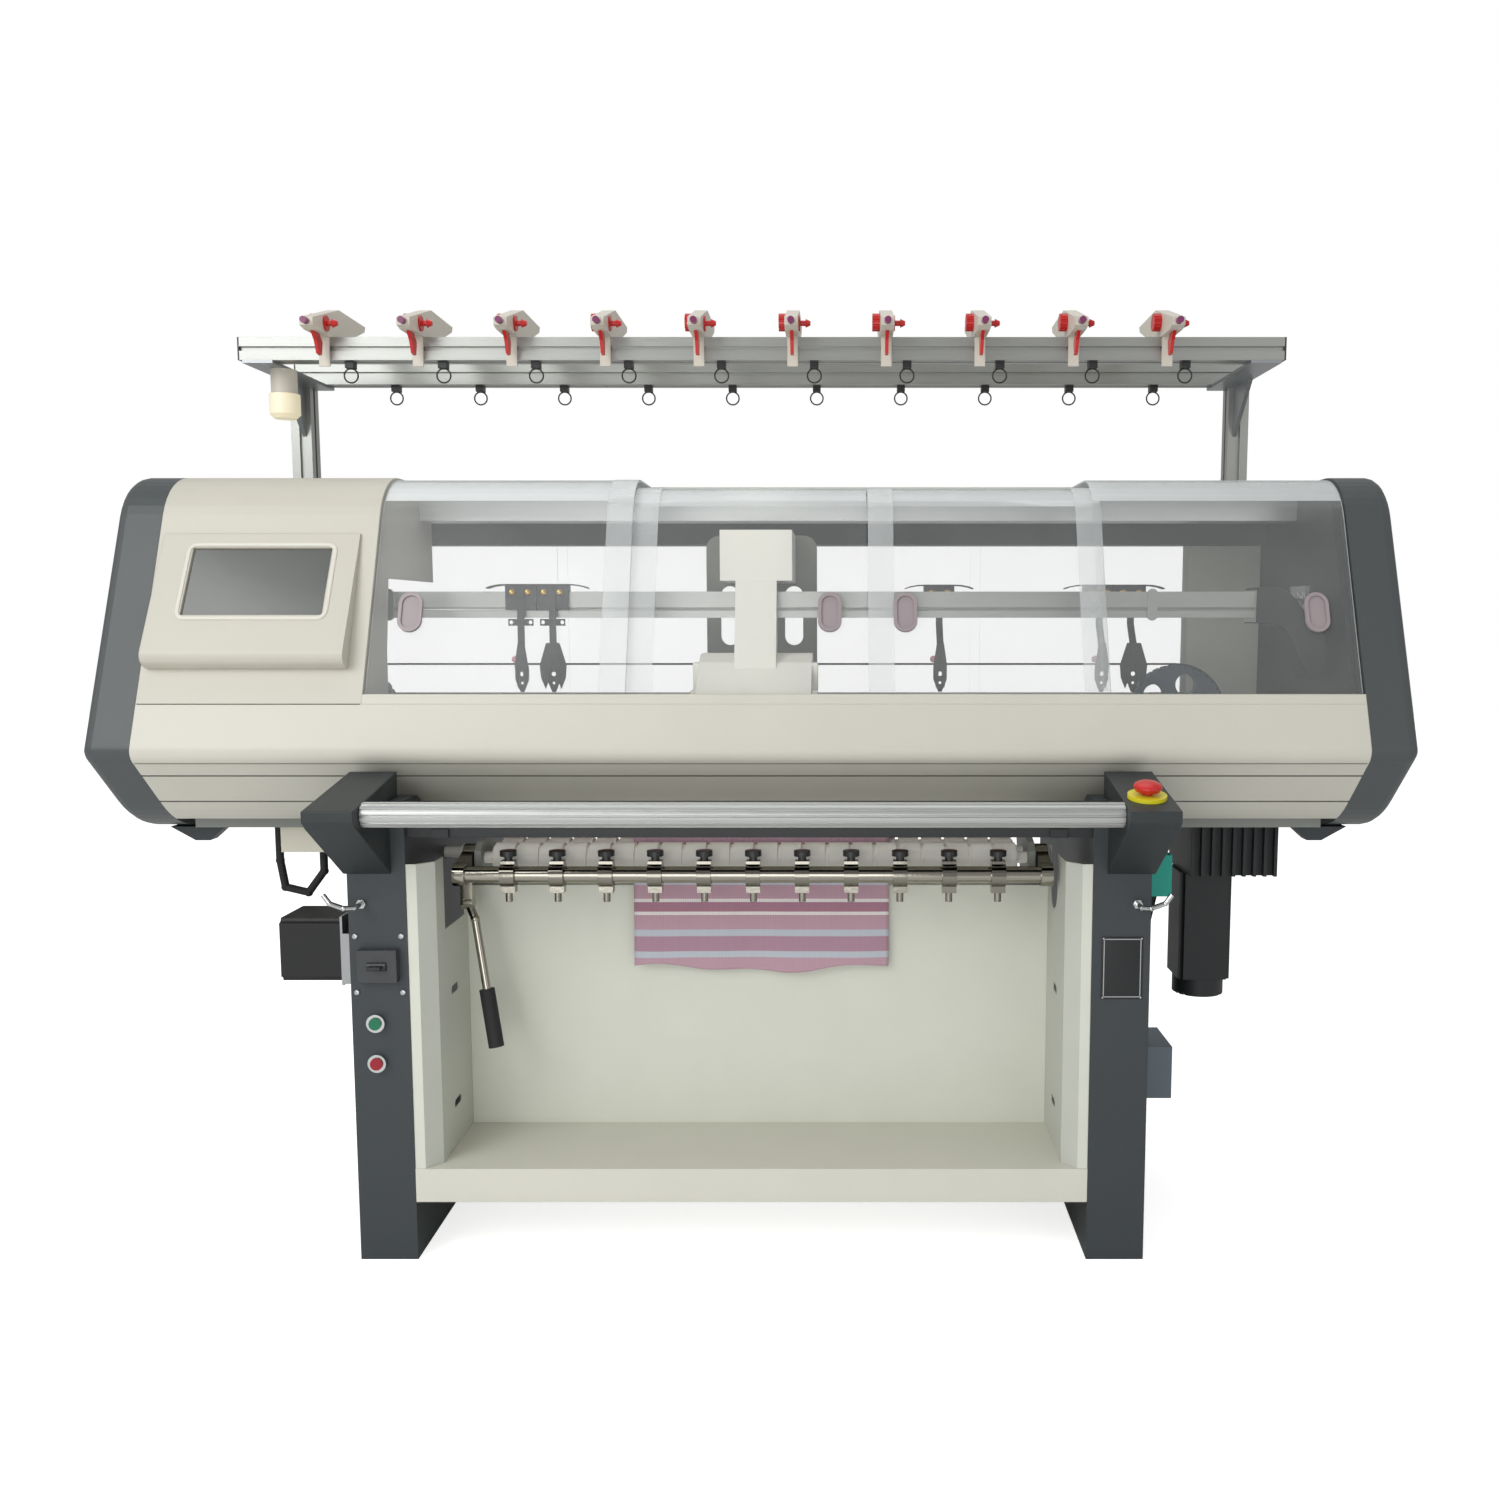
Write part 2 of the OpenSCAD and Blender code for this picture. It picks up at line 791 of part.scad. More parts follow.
// A needle bed, with its slots drawn out down the slope
module needle_bed() {
    x0 = (slot_count - 1) * slot_pitch / 2;
    teeth = [for (k = [0:slot_count - 1]) each slot_pts(x0 - k * slot_pitch)];
    comb = concat([[-bed_l / 2, 0], [-bed_l / 2, -bed_t], [bed_l / 2, -bed_t], [bed_l / 2, 0]], teeth);
    difference() {
        translate([0, bed_edge - bed_run, bed_z - bed_run]) rotate([45, 0, 0])
            along_y(0, bed_run * sqrt(2) + bed_t) polygon(comb);
        box(-far, far, bed_edge, far, 0, far);
    }
}

module front_needle_bed() {
    color("#9EA2A3") needle_bed();
}

module rear_needle_bed() {
    color("#9EA2A3") mirror_at_gap() needle_bed();
}

guide_out = gap_w / 2 + bed_run - 4;
guide_up = 27 - bed_run;
guide_y = -gap_y - guide_out;
guide_h = bed_z + guide_up;

module guide_rail() {
    round_x(-girder_x, girder_x, guide_y, guide_h, guide_d / 2);
    both_sides() along_x(girder_x - block_l, girder_x) polygon([
        [bed_low_y, bed_low_z], [bed_rest_y, bed_under(bed_rest_y)], [guide_y + 18, guide_h + 26],
        [guide_y - 18, guide_h + 18], [guide_y - 18, guide_h - 16]
    ]);
}

module guide_rails() {
    color("#A9ADAE") {
        guide_rail();
        mirror_at_gap() guide_rail();
    }
}

// Carriage
upright_y = 95;
cover_gap = 13;
cover_pts = [
    [cover_gap, 1], [cover_gap, 85], [23, 95], [55, 80], [guide_out + 4, 20],
    [guide_out + 4, guide_up + 42], [guide_out + 18, guide_up + 27], [guide_out + 18, guide_up],
    [guide_out - 15, guide_up], [guide_out - 18, guide_up + 6]
];
sensor_t = 10;

function from_gap(pts) = [for (p = pts) [-gap_y - p[0], bed_z + p[1]]];

module carriage_half() {
    along_x(-carriage_l / 2, carriage_l / 2) difference() {
        polygon(from_gap(cover_pts));
        translate([guide_y, guide_h]) circle(d = guide_d + 2 * fit);
    }
}

module carriage_cover() {
    color("#D2D0C6") {
        carriage_half();
        mirror_at_gap() carriage_half();
        along_x(-carriage_l / 2, carriage_l / 2)
            area(-gap_y + guide_out - 10, bed_z - 40, upright_y, bed_z + 15);
        both_sides() {
            box(carriage_l / 2, carriage_l / 2 + sensor_t, -150, -112, bed_z + 20, bed_z + 34);
            box(carriage_l / 2, carriage_l / 2 + sensor_t, -104, -70, bed_z + 30, bed_z + 80);
        }
    }
}

stem_pts = [[67, 70], [55, 80], [23, 95], [15, 87]];
bridge_front = 68;
upright_w = 206;
belt_r = pulley_r + clear;
belt_top = pulley_h + belt_r + belt_t;
belt_clamp = [30, 14];

module carriage_bridge() {
    foot = from_gap(stem_pts);
    color("#D2D0C6") {
        along_x(-stem_w / 2, stem_w / 2) polygon([
            foot[0], foot[1], foot[2], foot[3], [foot[3][0], bridge_top_z], [-bridge_front, bridge_top_z],
            [-bridge_front, bridge_z]
        ]);
        along_x(-bridge_w / 2, bridge_w / 2) area(-bridge_front, bridge_z, upright_y, bridge_top_z);
        along_y(upright_y, upright_y + upright_t) difference() {
            polygon(rounded([
                [-upright_w / 2, bed_z - 20], [-upright_w / 2, bridge_top_z], [upright_w / 2, bridge_top_z],
                [upright_w / 2, bed_z - 20]
            ], [4, 24, 24, 4], 6));
            for (x = [-60, 60]) translate([x, bridge_z - 60]) stadium(34, 110);
        }
        box(-belt_clamp[0], belt_clamp[0], upright_y + upright_t, belt_front + belt_w, belt_top,
            belt_top + belt_clamp[1]);
    }
}

// Feeder rails and feeders
rail_top = rail_z + rail_t;
rail_y1 = -gap_y + 7;
rail_y2 = rail_y1 + rail_pitch;
rail_x = rail_l / 2;
arm_y0 = rail_y1 - 8;
arm_y1 = rail_y2 + rail_w + 8;
stop_x = [-651, 698];
rail_groove = 2.5;

module rail_section(y) {
    difference() {
        area(y, rail_z, y + rail_w, rail_top);
        translate([y, rail_z + rail_t / 3]) circle(r = rail_groove, $fn = 12);
        translate([y + rail_w, rail_z + rail_t / 3]) circle(r = rail_groove, $fn = 12);
    }
}

module feeder_rails() {
    color("#B4B7B6") {
        along_x(-rail_x, rail_x) {
            rail_section(rail_y1);
            rail_section(rail_y2);
        }
        both_sides() along_y(arm_y0, arm_y1) polygon(rounded([
            [rail_x, rail_z - 10], [rail_x, rail_top + 8], [rail_x + 50, rail_top + 8], [frame_x, rail_z - 30],
            [frame_x, rail_z - 110], [frame_x - 25, rail_z - 110], [rail_x + 50, rail_z - 10]
        ], [4, 8, 40, 30, 2, 8, 40], 6));
        for (x = stop_x) along_y(rail_y1 - 4, rail_y1)
            translate([x, rail_z + rail_t / 2]) stadium(18, rail_t + 10);
    }
}

feeder_w = 54;
feeder_wall = 10;
feeder_cap = 11;
feeder_arm_t = 3;
feeder_arm_w = 12;
feeder_skirt = 14;
tip_pts = [[-12, 46], [12, 46], [12, 22], [3, 0], [-3, 0], [-12, 22]];
rear_tip_y = -gap_y + 6.5;
arm_bend = 10;

module feeder_block(y) {
    along_x(-feeder_w / 2, feeder_w / 2) difference() {
        area(y - feeder_wall, rail_z + feeder_skirt, y + rail_w + feeder_wall / 2, rail_top + feeder_cap);
        area(y - clear, 0, y + rail_w + clear, rail_top);
    }
}

module feeder_tip(y) {
    along_y(y, y + feeder_arm_t) translate([0, feeder_tip_z]) difference() {
        polygon(tip_pts);
        translate([0, 32]) circle(r = 4);
        translate([0, 16]) circle(r = 2.5);
    }
    along_y(y, y + feeder_arm_t) difference() {
        translate([0, rail_z - 8]) square([44, 12], center = true);
        for (x = [-17, 17]) translate([x, rail_z - 8]) circle(r = 3.5);
    }
}

// A feeder on the front rail
module front_feeder(x) {
    y = rail_y1 - feeder_wall - feeder_arm_t;
    color("#2B2D2E") translate([x, 0, 0]) {
        feeder_block(rail_y1);
        box(-feeder_arm_w / 2, feeder_arm_w / 2, y, y + feeder_arm_t, feeder_tip_z + 40, rail_top);
        feeder_tip(y);
    }
}

// A feeder on the rear rail, whose arm bends forward under the front rail
module rear_feeder(x) {
    y = rail_y2 - feeder_wall - feeder_arm_t;
    color("#2B2D2E") translate([x, 0, 0]) {
        feeder_block(rail_y2);
        along_x(-feeder_arm_w / 2, feeder_arm_w / 2) polygon([
            [y, rail_top], [y, rail_z - arm_bend], [rear_tip_y, rail_z - arm_bend - 40],
            [rear_tip_y, feeder_tip_z + 40], [rear_tip_y + feeder_arm_t, feeder_tip_z + 40],
            [rear_tip_y + feeder_arm_t, rail_z - arm_bend - 42], [y + feeder_arm_t, rail_z - arm_bend - 2],
            [y + feeder_arm_t, rail_top]
        ]);
        along_y(rear_tip_y, rear_tip_y + feeder_arm_t) translate([0, feeder_tip_z]) difference() {
            polygon(tip_pts);
            translate([0, 32]) circle(r = 4);
            translate([0, 16]) circle(r = 2.5);
        }
    }
}

module yarn_feeder_1() {
    front_feeder(-416);
}

module yarn_feeder_2() {
    front_feeder(-360);
}

module yarn_feeder_3() {
    rear_feeder(324);
}

module yarn_feeder_4() {
    rear_feeder(611);
}

module yarn_feeder_5() {
    rear_feeder(667);
}

// Carriage belt drive
tooth_count = 36;
tooth_r = 2.5;
spoke_hole_r = 20;
spoke_at = 54;

module belt_pulley(x) {
    along_y(belt_front, belt_front + belt_w) translate([x, pulley_h]) difference() {
        circle(r = pulley_r, $fn = 64);
        circle(r = pulley_shaft_r + fit);
        for (k = [0:tooth_count - 1]) rotate(k * 360 / tooth_count)
            translate([pulley_r, 0]) circle(r = tooth_r, $fn = 12);
        for (k = [0:4]) rotate(k * 72) translate([spoke_at, 0]) circle(r = spoke_hole_r);
    }
}

module drive_pulley() {
    color("#33495A") belt_pulley(pulley_x);
}

module idler_pulley() {
    color("#33495A") belt_pulley(-pulley_x);
}

module loop_profile(r, l) {
    stadium(2 * r, l + 2 * r);
}

take_pulley_r = 27;
take_x = [-leg_out - 50, -leg_out - 26];
stepper_y = 110;
stepper_h = roller_z - 154;
take_run = [roller_z - stepper_h, stepper_y - roller_y];

module timing_belts() {
    color("#26282A") {
        along_y(belt_front + 1, belt_front + belt_w - 1) translate([0, pulley_h]) rotate(90) difference() {
            loop_profile(belt_r + belt_t, pulley_pitch, $fn = 64);
            loop_profile(belt_r, pulley_pitch, $fn = 64);
        }
        along_x(take_x[0] + 2, take_x[1] - 2)
            translate([-(stepper_y + roller_y) / 2, (stepper_h + roller_z) / 2])
                rotate(-atan2(take_run[1], take_run[0])) difference() {
                    loop_profile(take_pulley_r + clear + belt_t, norm(take_run));
                    loop_profile(take_pulley_r + clear, norm(take_run));
                }
    }
}

servo_x = 835;
servo_y = 100;
servo_w = 97;
servo_z = [leg_h - 343, leg_h - 105];
fin_count = 9;
drive_x = [795, 955];
drive_y = [20, 180];
fin_t = 6;

module servo_drive() {
    pitch = (drive_x[1] - drive_x[0] - fin_t) / (fin_count - 1);
    color("#222526") {
        box(drive_x[0], drive_x[1], drive_y[0] + 12, drive_y[1], servo_z[1], leg_h);
        for (k = [0:fin_count - 1]) {
            x = drive_x[0] + k * pitch;
            box(x, x + fin_t, drive_y[0], drive_y[0] + 13, servo_z[1], leg_h);
        }
        translate([servo_x, servo_y, servo_z[0] + 34]) linear_extrude(servo_z[1] - servo_z[0] - 34)
            difference() {
                square(servo_w, center = true);
                for (a = [0:90:270]) rotate(a + 45) translate([servo_w / sqrt(2), 0]) circle(r = 8);
            }
        translate([servo_x, servo_y, servo_z[0]]) difference() {
            cylinder(h = 35, d = servo_w - 2);
            for (k = [-3:3]) translate([-servo_w / 2, k * 11 - 2, -1]) cube([servo_w, 4, 6]);
        }
    }
}

// Take-down rollers, press bar and motor
hanger_x = roller_l / 2 + 18;
hanger_t = 12;
boss_l = 24;
press_bore = hanger_t - 1;
boss_d = journal_d + 12;
groove_w = 6;
groove_d = 4;
press_axis_y = roller_y + roller_pitch;

module roller_profile() {
    p = roller_l / roller_count;
    r = roller_d / 2;
    steps = [for (k = [0:roller_count - 1]) each [
        [r - groove_d, k * p], [r - groove_d, k * p + groove_w / 2], [r, k * p + groove_w / 2],
        [r, (k + 1) * p - groove_w / 2], [r - groove_d, (k + 1) * p - groove_w / 2]
    ]];
    polygon(concat([[0, 0]], steps, [[r - groove_d, roller_l], [0, roller_l]]));
}

module roller(y) {
    translate([-roller_l / 2, -y, roller_z]) rotate([0, 90, 0]) rotate_extrude() roller_profile();
}

module main_roller() {
    color("#DEDCD2") {
        roller(roller_y);
        round_x(-leg_out - 50, hanger_x + hanger_t + 4, -roller_y, roller_z, journal_d / 2);
        along_x(take_x[0], take_x[1]) translate([-roller_y, roller_z]) circle(r = take_pulley_r);
    }
}

module press_roller() {
    color("#DEDCD2") {
        roller(press_axis_y);
        round_x(-hanger_x - press_bore + 1, hanger_x + press_bore - 1, -press_axis_y, roller_z, journal_d / 2);
    }
}

module hanger() {
    difference() {
        union() {
            along_x(hanger_x, hanger_x + hanger_t) polygon([
                [-girder_front, leg_h], [20, leg_h], [0, roller_z - 8], [-50, roller_z - 36],
                [-press_axis_y - 8, roller_z - 36], [-press_axis_y - 26, roller_z - 18],
                [-press_axis_y - 26, roller_z + 16], [-press_axis_y - 8, roller_z + 28]
            ]);
            round_x(hanger_x + hanger_t, hanger_x + hanger_t + boss_l, -press_axis_y, roller_z, boss_d / 2);
        }
        round_x(hanger_x - 1, hanger_x + hanger_t + 1, -roller_y, roller_z, journal_d / 2 + fit);
        round_x(hanger_x - 1, hanger_x + press_bore, -press_axis_y, roller_z, journal_d / 2 + fit);
    }
}

module roller_brackets() {
    color("#6D7070") both_sides() hanger();
    color("#A0431F") guide_strip();
}

hub_t = 20;
hub_x = hanger_x + hanger_t + 2;
hub_wall = 8;
press_end_r = press_d / 2 + 6;
crank_y = 150;
crank_h = roller_z - 73;
crank_arm_r = 12;
crank_rod_r = 7;
crank_x = hub_x + hub_t / 2;
crank_pts = [[-crank_x, -crank_y, crank_h], [14 - crank_x, -160, crank_h - 27],
    [35 - crank_x, -175, crank_h - 146]];
grip_r = 13;
grip_len = 100;

module arm_profile() {
    hub = [-press_axis_y, roller_z];
    end = [-press_y, press_z];
    difference() {
        union() {
            translate(hub) circle(r = boss_d / 2 + hub_wall);
            translate(end) circle(r = press_end_r);
            polygon([hub + [0, 20], end + [0, 16], end - [0, 16], hub - [0, 20]]);
        }
        translate(hub) circle(d = boss_d + 2 * fit);
    }
}

module press_bar() {
    color("#C6C9CA") {
        round_x(-hub_x - hub_t, hub_x + hub_t, -press_y, press_z, press_d / 2);
        both_sides() along_x(hub_x, hub_x + hub_t) arm_profile();
        along_x(-hub_x - hub_t, -hub_x) {
            translate([-crank_y, crank_h]) circle(r = crank_arm_r);
            area(-crank_y - crank_arm_r + 2, crank_h, -crank_y + crank_arm_r - 2, roller_z - 10);
        }
        rod(crank_pts, crank_rod_r);
    }
}

module crank_grip() {
    d = crank_pts[2] - crank_pts[1];
    color("#1E1F20") translate(crank_pts[2])
        rotate([0, acos(d[2] / norm(d)), atan2(d[1], d[0])]) cylinder(h = grip_len, r = grip_r);
}

clamp_w = 24;

module press_clamps() {
    color("#B9BCBD") for (k = [0:clamp_count - 1]) {
        x = (k - (clamp_count - 1) / 2) * clamp_pitch;
        translate([x, -press_y, press_z]) {
            along_x(-clamp_w / 2, clamp_w / 2) difference() {
                union() {
                    circle(d = press_d + 14);
                    area(-9, -30, 9, 24);
                }
                circle(d = press_d + 2 * fit);
            }
            translate([0, 0, -46]) cylinder(h = 17, r = 6);
            translate([0, 0, 23]) cylinder(h = 10, r = 7);
            translate([0, 0, 32]) cylinder(h = 9, r = 14);
        }
    }
}

bracket_gap = take_x[0] - 9;
take_shaft_r = 8;

module take_down_motor() {
    color("#2A2C2D") {
        difference() {
            union() {
                along_x(bracket_gap - stepper_w, bracket_gap) translate([-stepper_y, stepper_h]) difference() {
                    square(stepper_w + 4, center = true);
                    for (a = [0:90:270]) rotate(a + 45) translate([(stepper_w + 4) / sqrt(2), 0]) circle(r = 8);
                }
                along_x(bracket_gap, bracket_gap + 4)
                    translate([-stepper_y, stepper_h]) square(stepper_w + 14, center = true);
            }
            round_x(bracket_gap - 20, bracket_gap + 5, -stepper_y, stepper_h, take_shaft_r + fit);
        }
        for (s = [-1, 1]) box(bracket_gap + 4, -leg_out, -stepper_y + s * (stepper_w / 2 + 4) - 3,
            -stepper_y + s * (stepper_w / 2 + 4) + 3, stepper_h - 58, stepper_h + 30);
    }
}

module take_down_pulley() {
    color("#8A8D8E") {
        along_x(take_x[0], take_x[1]) translate([-stepper_y, stepper_h]) circle(r = take_pulley_r);
        round_x(bracket_gap - 18, take_x[1], -stepper_y, stepper_h, take_shaft_r);
    }
}

fabric_t = 1.2;
fabric_x = 7.5;
fabric_bend = [roller_z + 7, bed_z - 50];

module fabric() {
    y0 = -roller_y - roller_pitch / 2;
    t = fabric_t / 2;
    color("#B08A9B") along_x(fabric_x - fabric_w / 2, fabric_x + fabric_w / 2) polygon([
        [y0 - t, fabric_z], [y0 + t, fabric_z], [y0 + t, fabric_bend[0]], [-gap_y + t, fabric_bend[1]],
        [-gap_y + t, bed_z - 1], [-gap_y - t, bed_z - 1], [-gap_y - t, fabric_bend[1]],
        [y0 - t, fabric_bend[0]]
    ]);
}

// Controls on the left leg and the right bracket
breaker_x = -leg_in - 47;
breaker_h = leg_h - 189;
breaker_size = [64, 14, 53];
lever_r = 8;
lever_l = 32;
lever_y = leg_front + 10;
paddle = [20, 18, 5];
button_x = -leg_in - 54;
green_h = leg_h - 285;
red_h = leg_h - 352;
bezel_t = 10;
button_t = 9;
button_travel = 4;

module bezel(z) {
    difference() {
        round_y(-leg_front - bezel_t, -leg_front, button_x, z, bezel_d / 2);
        round_y(-leg_front - bezel_t - 1, -leg_front + 1, button_x, z, button_d / 2 + fit);
    }
}

module switch_panel() {
    color("#D8D8D2") difference() {
        box(breaker_x - breaker_size[0] / 2, breaker_x + breaker_size[0] / 2, -leg_front - breaker_size[1],
            -leg_front, breaker_h - breaker_size[2] / 2, breaker_h + breaker_size[2] / 2);
        round_x(breaker_x - lever_l / 2, breaker_x + lever_l / 2, -lever_y, breaker_h, lever_r + fit);
    }
    color("#C9CACA") {
        bezel(green_h);
        bezel(red_h);
    }
    color("#E6E02A") on_bracket() ring(estop_base_d / 2, estop_stem_d / 2 + fit, estop_base_t);
}

module breaker_lever() {
    color("#1E1F20") {
        round_x(breaker_x - lever_l / 2 + clear, breaker_x + lever_l / 2 - clear, -lever_y, breaker_h, lever_r);
        box(breaker_x - paddle[0] / 2, breaker_x + paddle[0] / 2, -lever_y - paddle[1], -lever_y,
            breaker_h - paddle[2] / 2, breaker_h + paddle[2] / 2);
    }
}

module push_button(z) {
    y = -leg_front - button_travel;
    round_y(y - button_t, y, button_x, z, button_d / 2);
}

module green_button() {
    color("#0E8A62") push_button(green_h);
}

module red_button() {
    color("#A80F28") push_button(red_h);
}

estop_rim = 6;
estop_dome = 10;

module estop_head() {
    r = estop_d / 2;
    base = estop_base_t + estop_travel + 1;
    color("#C8201F") on_bracket() {
        translate([0, 0, -1]) cylinder(h = base + 2, d = estop_stem_d);
        translate([0, 0, base]) rotate_extrude() polygon(concat(
            [[0, 0], [r - 3, 0], [r, estop_rim]],
            [for (a = [15:15:90]) [r * cos(a), estop_rim + estop_dome * sin(a)]]
        ));
    }
}

// Yarn stand
post_x = stand_l / 2;
post_y = head_back + post_gap;
beam_h = stand_z + end_plate_t;
beam_top = beam_h + post_w;
beam_x = post_x - 14;
t_slot = [8, 6];
plate_x = [post_x - 77, post_x - 20];
plate_front = front_beam_y - 3;
tie_zs = [leg_h + 110, head_z - 160];
tie_h = 60;

// The slotted section of a post or beam, with its corner at the origin
module slotted_section() {
    difference() {
        square(post_w);
        translate([post_w / 2, post_w / 2]) for (a = [0:90:270]) rotate(a)
            translate([post_w / 2, 0]) square([2 * t_slot[1], t_slot[0]], center = true);
    }
}

module yarn_stand() {
    color("#B9BBBA") {
        both_sides() translate([post_x - post_w, post_y, post_foot_z])
            linear_extrude(stand_z - post_foot_z) slotted_section();
        along_x(-beam_x, beam_x) translate([front_beam_y, beam_h]) slotted_section();
        along_x(-beam_x, beam_x) translate([post_y, beam_h]) slotted_section();
    }
}

gusset = 100;

module stand_brackets() {
    color("#A6A8A5") both_sides() {
        box(plate_x[0], plate_x[1], plate_front, post_y + post_w, stand_z, beam_h);
        for (z = tie_zs) box(post_x - post_w, post_x, head_back, post_y, z, z + tie_h);
        along_x(plate_x[1] - 12, plate_x[1] - 4)
            polygon([[post_y, stand_z - gusset], [post_y, stand_z], [post_y - gusset, stand_z]]);
        along_x(beam_x, beam_x + 3) area(front_beam_y, beam_h, front_beam_y + post_w, beam_top);
        along_x(beam_x, beam_x + 3) area(post_y, beam_h, post_y + post_w, beam_top);
    }
}

tensioner_x = -30;
body_pts = [[-83, 4], [-83, 18], [46, 59], [183, 57], [178, 46], [60, 0], [-64, 0]];
drop_t = 4;
drop_l = 12;
knob_d = 32;
knob_l = 14;
knob_at = [8, 28];
disc_at = [-22, 20];
eyelet_r = 6;
eyelet_l = 14;

function tensioner_at(k) = tensioner_x + (k - (tensioner_count - 1) / 2) * tensioner_pitch;

module at_tensioners() {
    for (k = [0:tensioner_count - 1]) translate([tensioner_at(k), front_beam_y, beam_top]) children();
}

module tensioner_bodies() {
    color("#C6BFB2") at_tensioners() {
        along_x(-tensioner_w / 2, tensioner_w / 2) polygon(body_pts);
        box(-tensioner_w / 2 + 2, tensioner_w / 2 - 2, -drop_t, 0, -post_w - drop_l, 1);
    }
}

module tensioner_knobs() {
    w = tensioner_w / 2;
    color("#A31F33") at_tensioners() {
        translate([-w - knob_l, knob_at[0], knob_at[1]]) rotate([0, 90, 0]) linear_extrude(knob_l) difference() {
            circle(d = knob_d);
            for (a = [0:30:330]) rotate(a) translate([knob_d / 2, 0]) circle(r = 2, $fn = 12);
        }
        round_x(w, w + 3, disc_at[0], disc_at[1], 14);
        round_x(w + 3, w + 13, disc_at[0], disc_at[1], 5);
        translate([w + 13, disc_at[0], disc_at[1]]) rotate([0, 90, 0]) cylinder(h = 9, r1 = 8, r2 = 4);
        round_y(body_pts[0][0] - eyelet_l, body_pts[0][0], 0, 11, eyelet_r);
        along_x(-3, 3) polygon([[-58, 0], [-30, 0], [-16, -14], [-22, -38], [-34, -36], [-44, -14]]);
    }
}

loop_r = 13;
wire_r = 1.5;
holder = [16, 20, 12];

module wire_guide(x, y) {
    translate([x, y, beam_h]) {
        box(-holder[0] / 2, holder[0] / 2, -holder[1] / 2, holder[1] / 2, -holder[2], 0);
        translate([0, 0, -holder[2] - loop_r]) rotate([90, 0, 0])
            rotate_extrude() translate([loop_r, 0]) circle(r = wire_r, $fn = 16);
    }
}

module yarn_guides() {
    color("#2A2C2D") for (k = [0:tensioner_count - 1]) {
        wire_guide(tensioner_at(k) + 40, front_beam_y + post_w / 2);
        wire_guide(tensioner_at(k) + 40, post_y + post_w / 2);
    }
}

lamp_x = -post_x + 68;
lamp_r = 28;
lamp_y = plate_front + 70;
lamp_base = 46;
lamp_lens = 38;
lamp_taper = 8;

module signal_lamp() {
    color("#D9D5C4") {
        translate([lamp_x, lamp_y, stand_z - lamp_base]) cylinder(h = lamp_base, r = lamp_r - 4);
        translate([lamp_x, lamp_y, stand_z - lamp_base - lamp_lens]) {
            cylinder(h = lamp_lens, r = lamp_r);
            translate([0, 0, -lamp_taper]) cylinder(h = lamp_taper, r1 = lamp_r - lamp_taper, r2 = lamp_r);
        }
    }
}

// Hooks, boxes and the side tensioner
hook_r = 4;
hook_x = leg_in + 72;
hook_h = leg_h - 88;
hook_out = 46;
cap_bracket_x = frame_x - 48;

module hook() {
    y = -leg_front;
    rod([[hook_x, y, hook_h], [hook_x, y - hook_out + 12, hook_h], [hook_x + 12, y - hook_out, hook_h + 2],
        [hook_x + 34, y - hook_out, hook_h + 10], [hook_x + 44, y - hook_out, hook_h + 24]], hook_r);
    translate([hook_x, y, hook_h]) rotate([90, 0, 0]) cylinder(h = 6, r = 2 * hook_r, $fn = 6);
}

module hooks() {
    color("#B9BCBD") both_sides() {
        hook();
        along_y(-48, -20) polygon([
            [cap_bracket_x, leg_h], [frame_x + 50, leg_h], [frame_x + 6, leg_h - 25], [frame_x - 20, leg_h - 25]
        ]);
    }
}

module electrical_boxes() {
    color("#6F7C86") {
        box(leg_out, leg_out + 90, -60, 40, leg_h - 125, leg_h - 50);
        round_x(leg_out + 90, leg_out + 96, -20, leg_h - 80, 6);
        box(leg_out, leg_out + 125, 40, 160, 154, 254);
        box(-860, -770, -40, 40, leg_h - 48, leg_h);
    }
    color("#1E1F20") {
        rod([[leg_out + 70, 100, 254], [leg_out + 70, 100, 420], [leg_out + 100, 100, 560],
            [leg_out + 100, 100, leg_h]], 9);
        rod([[-800, 0, leg_h - 48], [-800, 0, 600], [-830, 0, 560], [-872, 0, 570], [-880, 0, 620],
            [-880, 0, leg_h]], 7);
    }
}

side_y = 78;
side_h = apron_z + 170;

module side_tensioner() {
    color("#C9CACA") {
        along_x(frame_x - 8, frame_x) translate([side_y, side_h]) square([80, 60], center = true);
        for (y = [-24, 4]) {
            round_x(frame_x - 11, frame_x - 8, side_y + y, side_h + 8, 12);
            round_x(frame_x - 22, frame_x - 11, side_y + y, side_h + 8, 4);
            round_x(frame_x - 25, frame_x - 22, side_y + y, side_h + 8, 10);
        }
        round_x(frame_x - 26, frame_x - 8, side_y + 28, side_h - 12, 9);
    }
}

left_leg();
right_leg();
front_crossbeam();
left_handle_bracket();
right_handle_bracket();
shelf_tray();
recess_panels();
bed_base();
head_frame();
left_end_cap();
right_end_cap();
front_apron();
control_housing();
touch_screen();
window_tracks();
rear_cover();
rear_windows();
window_1();
window_2();
window_3();
window_4();
front_needle_bed();
rear_needle_bed();
guide_rails();
feeder_rails();
yarn_feeder_1();
yarn_feeder_2();
yarn_feeder_3();
yarn_feeder_4();
yarn_feeder_5();
carriage_cover();
carriage_bridge();
drive_pulley();
idler_pulley();
timing_belts();
servo_drive();
main_roller();
press_roller();
roller_brackets();
press_bar();
press_clamps();
crank_grip();
take_down_motor();
take_down_pulley();
fabric();
handle_bar();
switch_panel();
breaker_lever();
green_button();
red_button();
estop_head();
yarn_stand();
stand_brackets();
tensioner_bodies();
tensioner_knobs();
yarn_guides();
signal_lamp();
hooks();
electrical_boxes();
side_tensioner();
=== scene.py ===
"""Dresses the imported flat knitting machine: finishes for its solids, its knitted fabric, its needles and its trim."""

